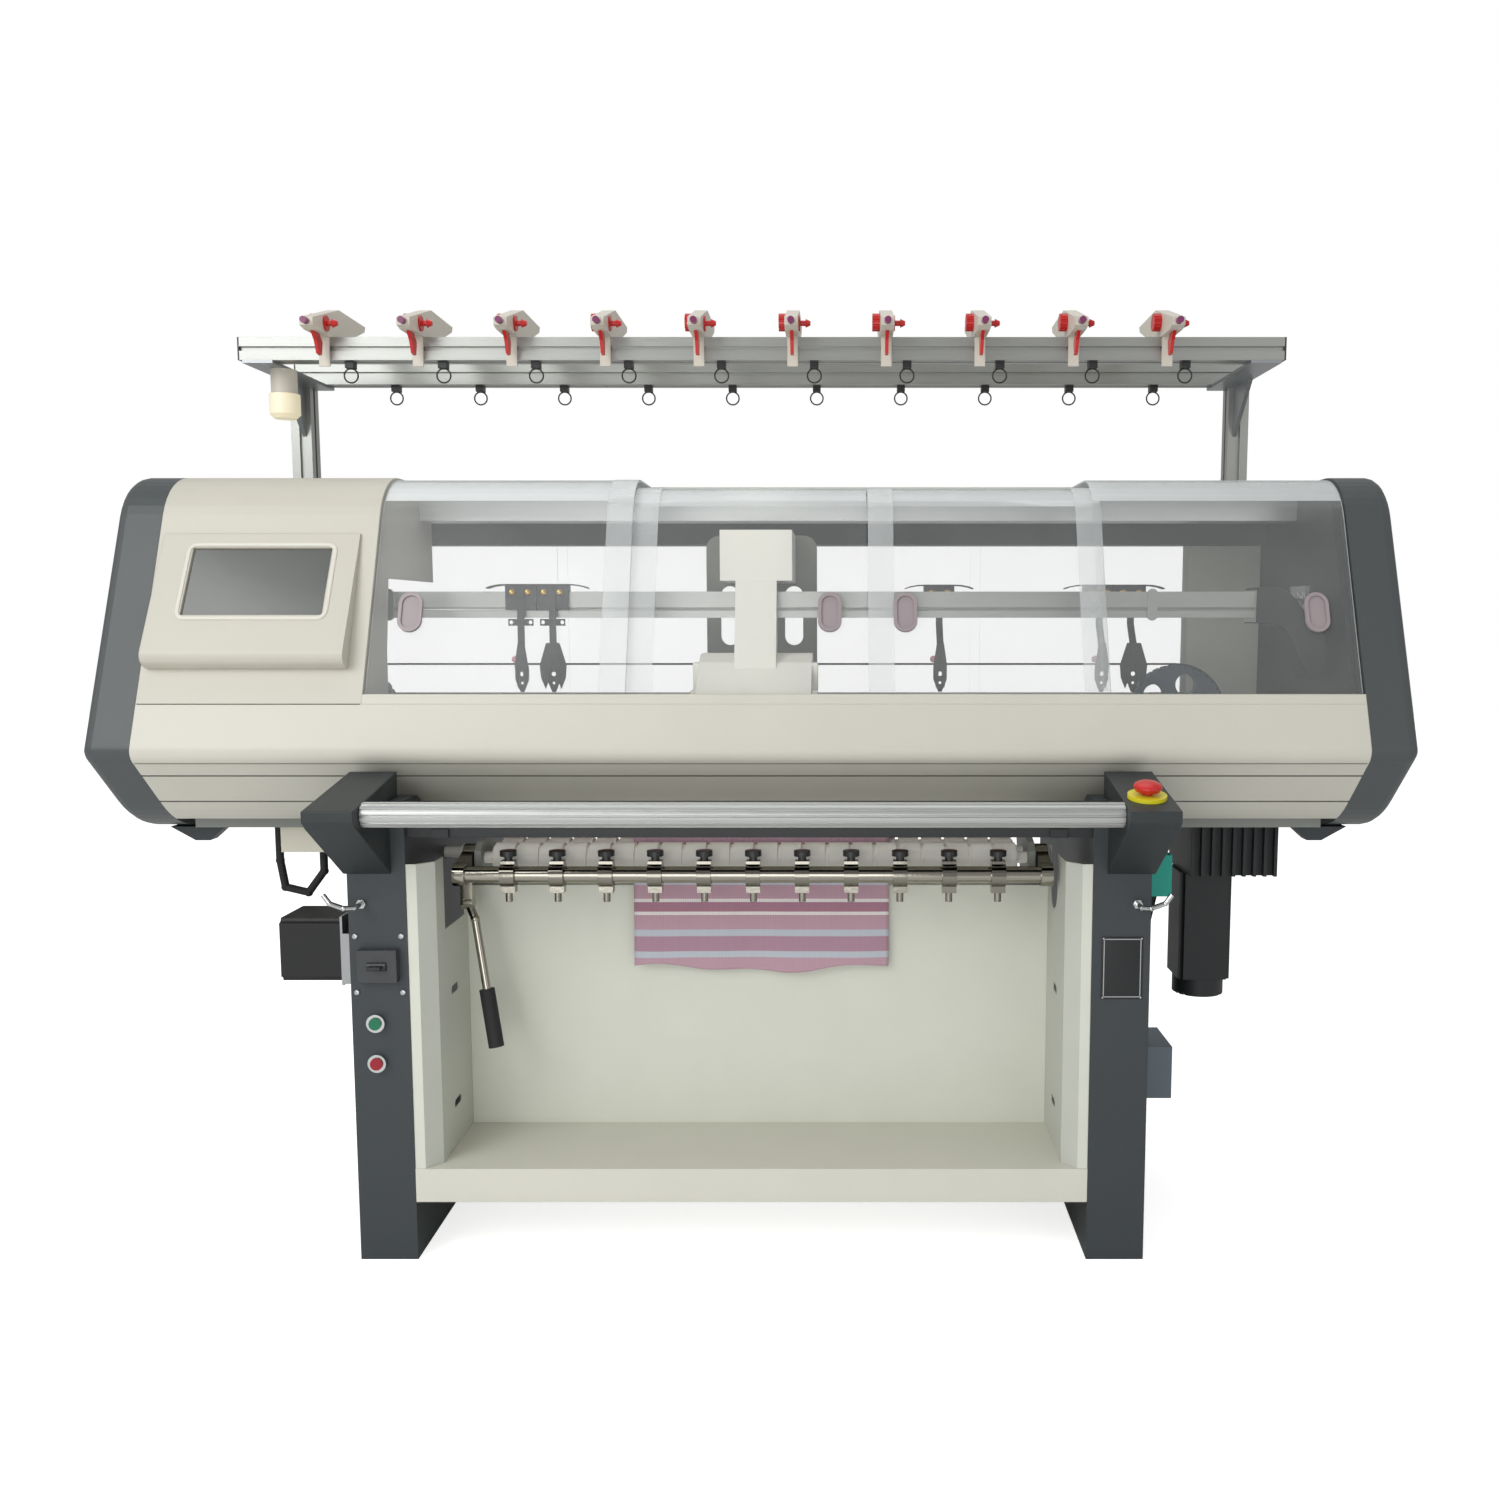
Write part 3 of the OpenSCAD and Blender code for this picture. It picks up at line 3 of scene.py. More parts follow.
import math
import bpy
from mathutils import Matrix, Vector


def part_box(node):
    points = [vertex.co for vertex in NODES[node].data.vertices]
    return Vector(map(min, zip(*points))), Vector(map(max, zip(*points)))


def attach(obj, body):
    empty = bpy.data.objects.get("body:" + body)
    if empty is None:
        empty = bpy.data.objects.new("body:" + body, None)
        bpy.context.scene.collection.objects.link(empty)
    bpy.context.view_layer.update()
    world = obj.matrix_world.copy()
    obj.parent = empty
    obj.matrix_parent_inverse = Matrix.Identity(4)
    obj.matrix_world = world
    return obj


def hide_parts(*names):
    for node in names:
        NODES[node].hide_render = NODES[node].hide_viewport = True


bl_info = {
    "name": "Flat knitting machine",
    "version": (1, 0, 0),
    "blender": (4, 5, 0),
    "location": "View3D > Sidebar > Knitting",
    "description": "Finishes, fabric, needles and trim for a packed flat knitting machine",
    "category": "Object",
}

import bmesh
import bpy
from bpy.props import FloatProperty, IntProperty, PointerProperty, StringProperty
from bpy.types import Operator, Panel, PropertyGroup
from mathutils import Vector

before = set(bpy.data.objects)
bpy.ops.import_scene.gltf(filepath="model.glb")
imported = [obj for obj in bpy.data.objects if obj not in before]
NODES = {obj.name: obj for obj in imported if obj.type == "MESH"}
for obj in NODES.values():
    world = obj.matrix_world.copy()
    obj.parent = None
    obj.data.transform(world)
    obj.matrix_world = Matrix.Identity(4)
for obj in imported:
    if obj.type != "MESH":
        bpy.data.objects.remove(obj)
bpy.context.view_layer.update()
MM = 0.001
FRONT = (0, -1, 0)


# Colour and shader helpers
def linear(hex_code):
    """Turns an sRGB hex value into a linear colour."""
    channels = [int(hex_code[i:i + 2], 16) / 255 for i in (1, 3, 5)]
    return tuple(c / 12.92 if c <= 0.04045 else ((c + 0.055) / 1.055) ** 2.4 for c in channels) + (1.0,)


def shade(hex_code, factor):
    """Gives a lighter or darker form of a colour."""
    red, green, blue, alpha = linear(hex_code)
    return (min(red * factor, 1.0), min(green * factor, 1.0), min(blue * factor, 1.0), alpha)


def add(tree, kind, links=(), **settings):
    """Adds a node, sets its properties and sockets, and links its inputs."""
    node = tree.nodes.new(kind)
    for key, value in settings.items():
        if key in node.inputs:
            node.inputs[key].default_value = value
        else:
            setattr(node, key, value)
    for source, target in links:
        tree.links.new(source, node.inputs[target])
    return node


def start(name):
    """Makes a material and gives it with its tree, its shader and the object coordinates."""
    material = bpy.data.materials.new(name)
    material.use_nodes = True
    tree = material.node_tree
    shader = tree.nodes["Principled BSDF"]
    place = add(tree, "ShaderNodeTexCoord").outputs["Object"]
    return material, tree, shader, place


def per_metre(size_mm):
    """Gives the texture scale at which one feature is about this many millimetres wide."""
    return 1.0 / (size_mm * MM)


def surface(name, colour, roughness, metallic=0.0, grain_mm=2.0, grain=0.05, cloud=0.06, cloud_mm=90.0,
            edge_mm=1.0):
    """A finish with faint clouding, uneven gloss, a fine grain and softly broken edges."""
    material, tree, shader, place = start(name)
    cloud_map = add(tree, "ShaderNodeTexNoise", [(place, "Vector")], Scale=per_metre(cloud_mm), Detail=4.0)
    tint = add(tree, "ShaderNodeMix", [(cloud_map.outputs["Fac"], "Factor")], data_type="RGBA")
    tint.inputs["A"].default_value = shade(colour, 1 - cloud)
    tint.inputs["B"].default_value = shade(colour, 1 + cloud)
    tree.links.new(tint.outputs["Result"], shader.inputs["Base Color"])
    gloss = add(tree, "ShaderNodeMapRange", [(cloud_map.outputs["Fac"], "Value")])
    gloss.inputs["To Min"].default_value = max(roughness - 0.05, 0.02)
    gloss.inputs["To Max"].default_value = roughness + 0.05
    tree.links.new(gloss.outputs["Result"], shader.inputs["Roughness"])
    grain_map = add(tree, "ShaderNodeTexNoise", [(place, "Vector")], Scale=per_metre(grain_mm), Detail=2.0)
    edge = add(tree, "ShaderNodeBevel", samples=3, Radius=edge_mm * MM)
    bump = add(tree, "ShaderNodeBump", [(grain_map.outputs["Fac"], "Height"), (edge.outputs["Normal"], "Normal")],
               Strength=grain, Distance=grain_mm * MM)
    tree.links.new(bump.outputs["Normal"], shader.inputs["Normal"])
    shader.inputs["Metallic"].default_value = metallic
    return material


# Materials
def textured_powder_coat(name, colour):
    """Epoxy powder coat on sheet steel: a fine orange-peel grain and a broad satin sheen."""
    return surface(name, colour, 0.42, grain_mm=1.6, grain=0.10, cloud=0.03, edge_mm=1.5)


def smooth_powder_coat(name, colour):
    """Smooth powder coat on folded steel: a low sheen with faint dust in the gloss."""
    return surface(name, colour, 0.5, grain_mm=3.0, grain=0.04, cloud=0.04, edge_mm=1.2)


def anodised_aluminium(name, colour):
    """Extruded and anodised aluminium: pale satin metal with drawing lines along X."""
    material, tree, shader, place = start(name)
    drawn = add(tree, "ShaderNodeMapping", [(place, "Vector")])
    drawn.inputs["Scale"].default_value = (0.02, 1.0, 1.0)
    lines = add(tree, "ShaderNodeTexNoise", [(drawn.outputs["Vector"], "Vector")], Scale=per_metre(1.2), Detail=3.0)
    tint = add(tree, "ShaderNodeMix", [(lines.outputs["Fac"], "Factor")], data_type="RGBA")
    tint.inputs["A"].default_value = shade(colour, 0.9)
    tint.inputs["B"].default_value = shade(colour, 1.08)
    tree.links.new(tint.outputs["Result"], shader.inputs["Base Color"])
    gloss = add(tree, "ShaderNodeMapRange", [(lines.outputs["Fac"], "Value")])
    gloss.inputs["To Min"].default_value = 0.28
    gloss.inputs["To Max"].default_value = 0.44
    tree.links.new(gloss.outputs["Result"], shader.inputs["Roughness"])
    edge = add(tree, "ShaderNodeBevel", samples=3, Radius=0.6 * MM)
    bump = add(tree, "ShaderNodeBump", [(lines.outputs["Fac"], "Height"), (edge.outputs["Normal"], "Normal")],
               Strength=0.05, Distance=0.5 * MM)
    tree.links.new(bump.outputs["Normal"], shader.inputs["Normal"])
    shader.inputs["Metallic"].default_value = 0.9
    return material


def ground_steel(name, colour):
    """Ground tool steel: a grey metal with a fine even grain and a soft reflection."""
    return surface(name, colour, 0.34, metallic=0.9, grain_mm=0.8, grain=0.05, cloud=0.08, edge_mm=0.5)


def chrome_plate(name, colour):
    """Bright chrome plate on tube: a mirror with a trace of haze."""
    return surface(name, colour, 0.1, metallic=1.0, grain_mm=8.0, grain=0.01, cloud=0.02, edge_mm=0.5)


def moulded_abs(name, colour, roughness=0.36):
    """Injection-moulded ABS: an even colour under a soft gloss with spark-eroded grain."""
    return surface(name, colour, roughness, grain_mm=0.9, grain=0.05, cloud=0.03, edge_mm=0.8)


def black_rubber(name, colour):
    """Moulded rubber: dark, dull and slightly dusty."""
    return surface(name, colour, 0.72, grain_mm=1.0, grain=0.12, cloud=0.12, edge_mm=1.0)


def cast_polyurethane(name, colour):
    """Cast polyurethane sleeves: a pale, waxy plastic with rubbed bands."""
    return surface(name, colour, 0.46, grain_mm=2.5, grain=0.06, cloud=0.07, cloud_mm=30.0)


def clear_acrylic(name, film):
    """Clear acrylic sheet: see-through face on, and a bright film of reflection at a slant."""
    material, tree, shader, place = start(name)
    shader.inputs["Base Color"].default_value = linear("#F2F5F5")
    shader.inputs["Roughness"].default_value = 0.06
    shader.inputs["IOR"].default_value = 1.49
    facing = add(tree, "ShaderNodeFresnel", IOR=1.35)
    haze = add(tree, "ShaderNodeTexNoise", [(place, "Vector")], Scale=per_metre(160.0), Detail=5.0)
    veil = add(tree, "ShaderNodeMapRange", [(haze.outputs["Fac"], "Value")])
    veil.inputs["To Min"].default_value = film * 0.6
    veil.inputs["To Max"].default_value = film * 1.5
    total = add(tree, "ShaderNodeMath", [(facing.outputs["Fac"], 0), (veil.outputs["Result"], 1)],
                operation="ADD", use_clamp=True)
    tree.links.new(total.outputs["Value"], shader.inputs["Alpha"])
    return material


def display_glass(name, colour):
    """Display glass over a dark panel: flat grey with a clear gloss."""
    return surface(name, colour, 0.16, grain_mm=20.0, grain=0.005, cloud=0.05, cloud_mm=140.0, edge_mm=0.4)


def lamp_lens(name, colour):
    """Moulded translucent lens with a weak lamp behind it."""
    material = surface(name, colour, 0.3, grain_mm=2.0, grain=0.05, cloud=0.05, cloud_mm=20.0)
    shader = material.node_tree.nodes["Principled BSDF"]
    shader.inputs["Emission Color"].default_value = linear("#F3DFA0")
    shader.inputs["Emission Strength"].default_value = 0.25
    return material


def wave_scale(size_mm):
    """Gives the wave texture's scale at which one band is about this many millimetres wide."""
    return per_metre(size_mm) / math.pi


def knitted_cotton(name, low, drop):
    """Knitted cotton strip: fine vertical ribs and cross bands of pink, pale blue, white and mauve."""
    material, tree, shader, place = start(name)
    split = add(tree, "ShaderNodeSeparateXYZ", [(place, "Vector")])
    height = add(tree, "ShaderNodeMapRange", [(split.outputs["Z"], "Value")])
    height.inputs["From Min"].default_value = low
    height.inputs["From Max"].default_value = low + drop
    bands = add(tree, "ShaderNodeValToRGB", [(height.outputs["Result"], "Fac")])
    ramp = bands.color_ramp
    ramp.interpolation = "CONSTANT"
    pink, mauve, wine, blue, white = "#C4A0AE", "#B58FA0", "#AE7E91", "#C3CBD4", "#F0EBEA"
    stripes = [(0.0, pink), (0.10, blue), (0.16, mauve), (0.30, blue), (0.36, pink), (0.50, white), (0.53, wine),
               (0.62, white), (0.65, pink), (0.78, blue), (0.86, pink)]
    # A new ramp has two elements already
    for position, _ in stripes[2:]:
        ramp.elements.new(position)
    for element, (position, colour) in zip(ramp.elements, stripes):
        element.position = position
        element.color = linear(colour)
    # Real wales lie about 2 mm apart; they are drawn wider so that they show
    wales = add(tree, "ShaderNodeTexWave", [(place, "Vector")], Scale=wave_scale(4.0), bands_direction="X")
    courses = add(tree, "ShaderNodeTexWave", [(place, "Vector")], Scale=wave_scale(3.0), bands_direction="Z")
    knit = add(tree, "ShaderNodeMath", [(wales.outputs["Fac"], 0), (courses.outputs["Fac"], 1)],
               operation="MULTIPLY")
    # The valleys between the loops are a fifth darker: painted shade in the hollows of the knit
    valley_shade = add(tree, "ShaderNodeMix", [(bands.outputs["Color"], "A")], data_type="RGBA", Factor=0.2)
    valley_shade.inputs["B"].default_value = linear("#5A4650")
    yarn = add(tree, "ShaderNodeMix", [(knit.outputs["Value"], "Factor"), (valley_shade.outputs["Result"], "A"),
                                       (bands.outputs["Color"], "B")], data_type="RGBA")
    tree.links.new(yarn.outputs["Result"], shader.inputs["Base Color"])
    bump = add(tree, "ShaderNodeBump", [(knit.outputs["Value"], "Height")], Strength=0.5, Distance=1.2 * MM)
    tree.links.new(bump.outputs["Normal"], shader.inputs["Normal"])
    shader.inputs["Roughness"].default_value = 0.9
    shader.inputs["Sheen Weight"].default_value = 0.3
    return material


# Mesh helpers
def piece(name, mesh, material, body="machine", smooth=True):
    """Adds a piece to the scene and lets it ride on a body."""
    obj = bpy.data.objects.new(name, mesh)
    bpy.context.scene.collection.objects.link(obj)
    mesh.materials.append(material)
    if smooth:
        mesh.shade_smooth()
        mesh.set_sharp_from_angle(angle=math.radians(35))
    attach(obj, body)
    return obj


def closed(bm, name):
    """Turns a bmesh into a mesh with clean normals."""
    bmesh.ops.recalc_face_normals(bm, faces=bm.faces)
    mesh = bpy.data.meshes.new(name)
    bm.to_mesh(mesh)
    bm.free()
    return mesh


def in_mm(pairs):
    """Turns pairs in millimetres into pairs in metres."""
    return [(a * MM, b * MM) for a, b in pairs]


def skin(bm, loops, ring=False):
    """Adds a skin over loops of points, with a face on each end or joined into a ring."""
    rows = [[bm.verts.new(point) for point in loop] for loop in loops]
    for near, far in zip(rows, rows[1:] + rows[:1] if ring else rows[1:]):
        for i in range(len(near)):
            j = (i + 1) % len(near)
            bm.faces.new((near[i], near[j], far[j], far[i]))
    if not ring:
        bm.faces.new(rows[0][::-1])
        bm.faces.new(rows[-1])


def block(bm, low, high, bevel=0.0):
    """Adds a box between two corners, with its edges rounded."""
    made = bmesh.ops.create_cube(bm, size=1.0)["verts"]
    centre = (Vector(low) + Vector(high)) / 2
    size = Vector(high) - Vector(low)
    for vert in made:
        vert.co = centre + Vector(vert.co[i] * size[i] for i in range(3))
    if bevel:
        edges = list({edge for vert in made for edge in vert.link_edges})
        bmesh.ops.bevel(bm, geom=edges, offset=bevel, segments=2, profile=0.7, affect="EDGES")


def turned(bm, profile, centre, axis, sides=16):
    """Adds a turned form from (radius, height) points, standing on a centre along an axis."""
    turn = Vector((0, 0, 1)).rotation_difference(Vector(axis)).to_matrix()
    angles = [2 * math.pi * k / sides for k in range(sides)]
    skin(bm, [[Vector(centre) + turn @ Vector((radius * math.cos(angle), radius * math.sin(angle), height))
               for angle in angles] for radius, height in profile])


def button_head(bm, centre, axis, radius):
    """Adds a button-head screw with a hexagon socket."""
    profile = [(radius, 0), (radius, radius * 0.25), (radius * 0.8, radius * 0.6), (radius * 0.5, radius * 0.72)]
    turned(bm, profile, centre, axis)
    socket = Vector(centre) + Vector(axis).normalized() * radius * 0.74
    turned(bm, [(radius * 0.38, 0), (radius * 0.3, -radius * 0.3)], socket, axis, 6)


def rounded(half_u, half_v, radius, steps=6):
    """Gives the outline of a rectangle with rounded corners."""
    points = []
    for side_u, side_v, first in ((1, 1, 0), (-1, 1, 90), (-1, -1, 180), (1, -1, 270)):
        for k in range(steps + 1):
            angle = math.radians(first + 90 * k / steps)
            points.append((side_u * (half_u - radius) + radius * math.cos(angle),
                           side_v * (half_v - radius) + radius * math.sin(angle)))
    return points


def paint(node, material, test=None):
    """Gives a node its finish, or only its faces that pass a test of their centre and normal."""
    mesh = NODES[node].data
    if test is None:
        mesh.materials.clear()
        mesh.materials.append(material)
        for face in mesh.polygons:
            face.material_index = 0
        return
    mesh.materials.append(material)
    index = len(mesh.materials) - 1
    for face in mesh.polygons:
        if test(face.center, face.normal):
            face.material_index = index


# Settings
class FinishSettings(PropertyGroup):
    """Finishes that a user would change."""

    housing: StringProperty(
        name="Housing", description="Hex colour of the powder coat on the apron", default="#CAC8BC", maxlen=7)
    fabric_rows: IntProperty(
        name="Fabric rows", description="Pairs of rows of faces down the fabric", default=60, min=20, max=200)


class TrimSettings(PropertyGroup):
    """Sizes of the pieces that the solids leave to the dress."""

    needle_pitch: FloatProperty(
        name="Needle pitch", description="Distance between shown needles", unit="LENGTH",
        default=6.35 * MM, min=2 * MM, max=20 * MM)
    screw_radius: FloatProperty(
        name="Screw radius", description="Radius of the button-head screws", unit="LENGTH",
        default=5 * MM, min=2 * MM, max=10 * MM)
    wing_length: FloatProperty(
        name="Wing length", description="How far a feeder's spring wing reaches past its block", unit="LENGTH",
        default=34 * MM, min=5 * MM, max=35 * MM)
    rim_width: FloatProperty(
        name="Rim width", description="Width of the raised rim round the screen", unit="LENGTH",
        default=7 * MM, min=3 * MM, max=12 * MM)
    seal_width: FloatProperty(
        name="Seal width", description="Width of the milky seal on a window's edge", unit="LENGTH",
        default=44 * MM, min=5 * MM, max=80 * MM)


# Operators
class KNIT_OT_finishes(Operator):
    """Gives each solid its real finish"""

    bl_idname = "knit.finishes"
    bl_label = "Finish the solids"

    # Cast and moulded nodes, with the radius of their edges
    EDGES = {"left_handle_bracket": 11 * MM, "right_handle_bracket": 11 * MM, "carriage_bridge": 6 * MM,
             "carriage_cover": 5 * MM}
    # Where a node's second finish starts
    BEZELS_TOP = 0.43
    LENS_HEIGHT = 45.5 * MM
    RAIL_ENDS_X = 0.8805
    BRIDGE_PLATE_Y = 0.0945
    MOTOR_BODY_X = (-0.795, -0.732)
    TEAL_BOX_Y, TEAL_BOX_Z = 0.045, 0.56
    CERAMIC_Y = 0.062
    CLAMP_CLIPS_Z = 0.6535
    SILL_TOP = 1.0
    BEAM_CAPS_X = 0.9775
    CAP_BRACKETS_X = 0.8
    GRIPS_Z = (1.03, 1.11)
    GRIP_FACE = 0.02
    GROOVES_Y = (-0.204, -0.151)
    GROOVES_TOP = 0.83
    GROOVE_REACH = 2.4 * MM

    def execute(self, context):
        slate = smooth_powder_coat("slate powder coat", "#33393C")
        dark = smooth_powder_coat("charcoal powder coat", "#1E2224")
        housing = textured_powder_coat("beige powder coat", context.scene.knit_finish.housing)
        chrome = chrome_plate("chrome plate", "#C6C9C8")
        black = moulded_abs("black ABS", "#232526")
        windows = ["window_%d" % k for k in range(1, 5)]
        feeders = ["yarn_feeder_%d" % k for k in range(1, 6)]
        table = {
            slate: ["left_leg", "right_leg"],
            dark: ["front_crossbeam", "head_frame", "servo_drive"],
            housing: ["front_apron"],
            chrome: ["hooks"],
            black: ["breaker_lever", "yarn_guides"] + feeders,
            # The handle brackets get a coat darker than the slate legs, as painted shade
            smooth_powder_coat("bracket coat with painted shade", "#262C2E"): ["left_handle_bracket", "right_handle_bracket"],
            smooth_powder_coat("cream powder coat", "#D2D4C8"): ["recess_panels", "rear_cover"],
            smooth_powder_coat("shelf powder coat", "#D2D1C5"): ["shelf_tray"],
            smooth_powder_coat("girder paint", "#8C8F8A"): ["bed_base", "roller_brackets"],
            smooth_powder_coat("pulley blue", "#33495A"): ["drive_pulley", "idler_pulley"],
            smooth_powder_coat("motor black", "#141516"): ["take_down_motor"],
            smooth_powder_coat("box grey", "#6F7C86"): ["electrical_boxes"],
            textured_powder_coat("control powder coat", "#C3C0B4"): ["control_housing"],
            textured_powder_coat("cap powder coat", "#474C4D"): ["left_end_cap", "right_end_cap"],
            anodised_aluminium("anodised aluminium", "#D6D8D6"): ["window_tracks"],
            anodised_aluminium("fluted aluminium", "#BCBEBC"): ["handle_bar"],
            anodised_aluminium("satin aluminium", "#A6A8A4"): ["feeder_rails", "yarn_stand"],
            ground_steel("ground steel", "#9A9DA0"): ["front_needle_bed", "rear_needle_bed", "guide_rails",
                                                      "take_down_pulley", "stand_brackets"],
            ground_steel("tensioner plate", "#C2C4C4"): ["side_tensioner"],
            chrome_plate("worn chrome plate", "#A39F94"): ["press_bar"],
            chrome_plate("dark nickel plate", "#8A877E"): ["press_clamps"],
            clear_acrylic("clear acrylic", 0.05): ["rear_windows"] + windows,
            display_glass("display glass", "#5F625F"): ["touch_screen"],
            cast_polyurethane("cast polyurethane", "#F4F2EA"): ["main_roller", "press_roller"],
            black_rubber("moulded rubber", "#1C1D1E"): ["timing_belts", "crank_grip"],
            moulded_abs("carriage ABS", "#F2F0E6"): ["carriage_cover", "carriage_bridge"],
            moulded_abs("tensioner ABS", "#CFC9BC"): ["tensioner_bodies", "signal_lamp"],
            moulded_abs("switch ABS", "#3A3C3E"): ["switch_panel"],
            moulded_abs("red ABS", "#C4201E", 0.28): ["estop_head", "tensioner_knobs"],
            moulded_abs("green ABS", "#066C4A", 0.25): ["green_button"],
            moulded_abs("signal red ABS", "#940A22", 0.25): ["red_button"],
        }
        for material, nodes in table.items():
            for node in nodes:
                paint(node, material)
        self.grips(windows)
        self.second_colours(slate, dark, housing, chrome, black)
        self.moulded_edges()
        return {"FINISHED"}

    def grips(self, windows):
        """Gives the finger grips their mauve grey, by the height and size of their faces."""
        grip = moulded_abs("grip ABS", "#9A8F92")
        low, high = self.GRIPS_Z
        for node in windows:
            mesh = NODES[node].data
            mesh.materials.append(grip)
            for face in mesh.polygons:
                if low < face.center.z < high and face.area < self.GRIP_FACE:
                    face.material_index = 1

    def second_colours(self, slate, dark, housing, chrome, black):
        """Picks out the faces that have a finish of their own."""
        lens_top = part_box("signal_lamp")[0][2] + self.LENS_HEIGHT
        bell_left, bell_right = self.MOTOR_BODY_X
        rows = (
            ("roller_brackets", smooth_powder_coat("red oxide paint", "#A0431F"), self.on_guide_strip),
            ("switch_panel", moulded_abs("yellow ABS", "#E3D926", 0.3), lambda c, n: c.x > 0),
            ("switch_panel", chrome, lambda c, n: c.x < 0 and c.z < self.BEZELS_TOP),
            ("signal_lamp", lamp_lens("lamp lens", "#E9E3CF"), lambda c, n: c.z < lens_top),
            ("feeder_rails", dark, lambda c, n: abs(c.x) > self.RAIL_ENDS_X),
            ("carriage_bridge", smooth_powder_coat("olive paint", "#76786E"),
             lambda c, n: c.y > self.BRIDGE_PLATE_Y),
            ("take_down_motor", ground_steel("motor end bell", "#A9ABAC"),
             lambda c, n: c.x > bell_right or c.x < bell_left),
            ("electrical_boxes", smooth_powder_coat("teal paint", "#16A593"),
             lambda c, n: c.x > 0 and c.z > self.TEAL_BOX_Z and c.y < self.TEAL_BOX_Y),
            ("electrical_boxes", smooth_powder_coat("box cream", "#D2CFBF"), lambda c, n: c.x < 0),
            ("electrical_boxes", black_rubber("cable jacket", "#1A1B1C"), self.on_cable),
            ("tensioner_knobs", moulded_abs("plum ceramic", "#7A2E5E", 0.3), lambda c, n: c.y < self.CERAMIC_Y),
            ("press_clamps", black, lambda c, n: c.z > self.CLAMP_CLIPS_Z),
            ("window_tracks", housing, lambda c, n: c.z < self.SILL_TOP),
            ("stand_brackets", black, lambda c, n: abs(c.x) > self.BEAM_CAPS_X),
            ("hooks", slate, lambda c, n: abs(c.x) > self.CAP_BRACKETS_X),
            # The side walls of the recess, which face along X, take a greyer, darker copy of the cream panel coat as
            # painted shade
            ("recess_panels", smooth_powder_coat("recess wall painted shade", "#BEC1B7"), lambda c, n: abs(n.x) > 0.7),
            ("front_apron", smooth_powder_coat("groove shadow", "#6B695F"), self.in_groove),
        )
        for node, material, test in rows:
            paint(node, material, test)

    def on_guide_strip(self, centre, normal):
        """Tells the painted guide strip from the roller hangers."""
        front, middle, back = -0.0605, -0.0595, -0.0575
        face = front < centre.y < back and centre.z > 0.681 and abs(centre.x) < 0.465
        edge = front < centre.y < middle and centre.z > 0.68
        return face or edge

    def on_cable(self, centre, normal):
        """Tells the held cables from the boxes that they join."""
        right = 0 < centre.x < 0.765 and centre.y > 0.085 and 0.2545 < centre.z < 0.69
        left = centre.x < 0 and centre.z < 0.6415
        far_left = centre.x < -0.8605
        return right or left or far_left

    def in_groove(self, centre, normal):
        """Tells the two pressed grooves of the apron from its flat chin."""
        nearest = min(abs(centre.y - y) for y in self.GROOVES_Y)
        return centre.z < self.GROOVES_TOP and nearest < self.GROOVE_REACH

    def moulded_edges(self):
        """Rounds the edges of the cast handle brackets and of the carriage."""
        for node, radius in self.EDGES.items():
            modifiers = NODES[node].modifiers
            weld = modifiers.new("joined faces", "WELD")
            weld.merge_threshold = 0.01 * MM
            flat = modifiers.new("whole flats", "DECIMATE")
            flat.decimate_type = "DISSOLVE"
            flat.angle_limit = math.radians(1)
            edge = modifiers.new("moulded edge", "BEVEL")
            edge.width = radius
            edge.segments = 4
            edge.limit_method = "ANGLE"
            edge.angle_limit = math.radians(40)


class KNIT_OT_fabric(Operator):
    """Hangs the knitted strip through the rollers"""

    bl_idname = "knit.fabric"
    bl_label = "Hang the fabric"

    THICKNESS = 1.2 * MM
    COLUMNS = 60
    # Heights at which the strip leaves the needle gap, passes the nip and starts to hang free
    GAP_Z, NIP_Z, FREE_Z = 0.855, 0.655, 0.62
    FREE_DROP = 0.175
    STRIPED_DROP = 0.19

    def execute(self, context):
        low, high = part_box("fabric")
        gap_y = high[1] - self.THICKNESS / 2
        nip_y = low[1] + self.THICKNESS / 2
        path = [Vector((0, gap_y, high[2])), Vector((0, gap_y, self.GAP_Z)), Vector((0, nip_y, self.NIP_Z)),
                Vector((0, nip_y, low[2]))]
        lengths = [(b - a).length for a, b in zip(path, path[1:])]
        total = sum(lengths)
        rows = context.scene.knit_finish.fabric_rows * 2
        bm = bmesh.new()
        grid = []
        for row in range(rows + 1):
            point = self.at(path, lengths, total * row / rows)
            line = []
            for column in range(self.COLUMNS + 1):
                share = column / self.COLUMNS
                line.append(bm.verts.new((low[0] + (high[0] - low[0]) * share, *self.hang(point, share))))
            grid.append(line)
        for upper, lower in zip(grid, grid[1:]):
            for column in range(self.COLUMNS):
                bm.faces.new((upper[column], lower[column], lower[column + 1], upper[column + 1]))
        strip = piece("knitted_strip", closed(bm, "knitted_strip"),
                      knitted_cotton("knitted cotton", low[2], self.STRIPED_DROP))
        thick = strip.modifiers.new("cloth thickness", "SOLIDIFY")
        thick.thickness = self.THICKNESS
        thick.offset = 0.0
        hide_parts("fabric")
        return {"FINISHED"}

    def hang(self, point, share):
        """Lets the free end lean forward in slow waves, with an uneven lower edge."""
        free = max(0.0, (self.FREE_Z - point.z) / self.FREE_DROP)
        wave = 0.35 * math.sin(9.5 * share + 0.6) + 0.15 * math.sin(23.0 * share)
        sag = 6 * MM * free * (math.sin(7.0 * share + 1.0) + 0.5 * math.sin(17.0 * share))
        return point.y - free * free * (6 * MM + 9 * MM * wave), point.z + sag * free

    def at(self, path, lengths, along):
        """Gives the point at a distance along the path."""
        for a, b, length in zip(path, path[1:], lengths):
            if along <= length or b is path[-1]:
                return a.lerp(b, min(along / length, 1.0))
            along -= length


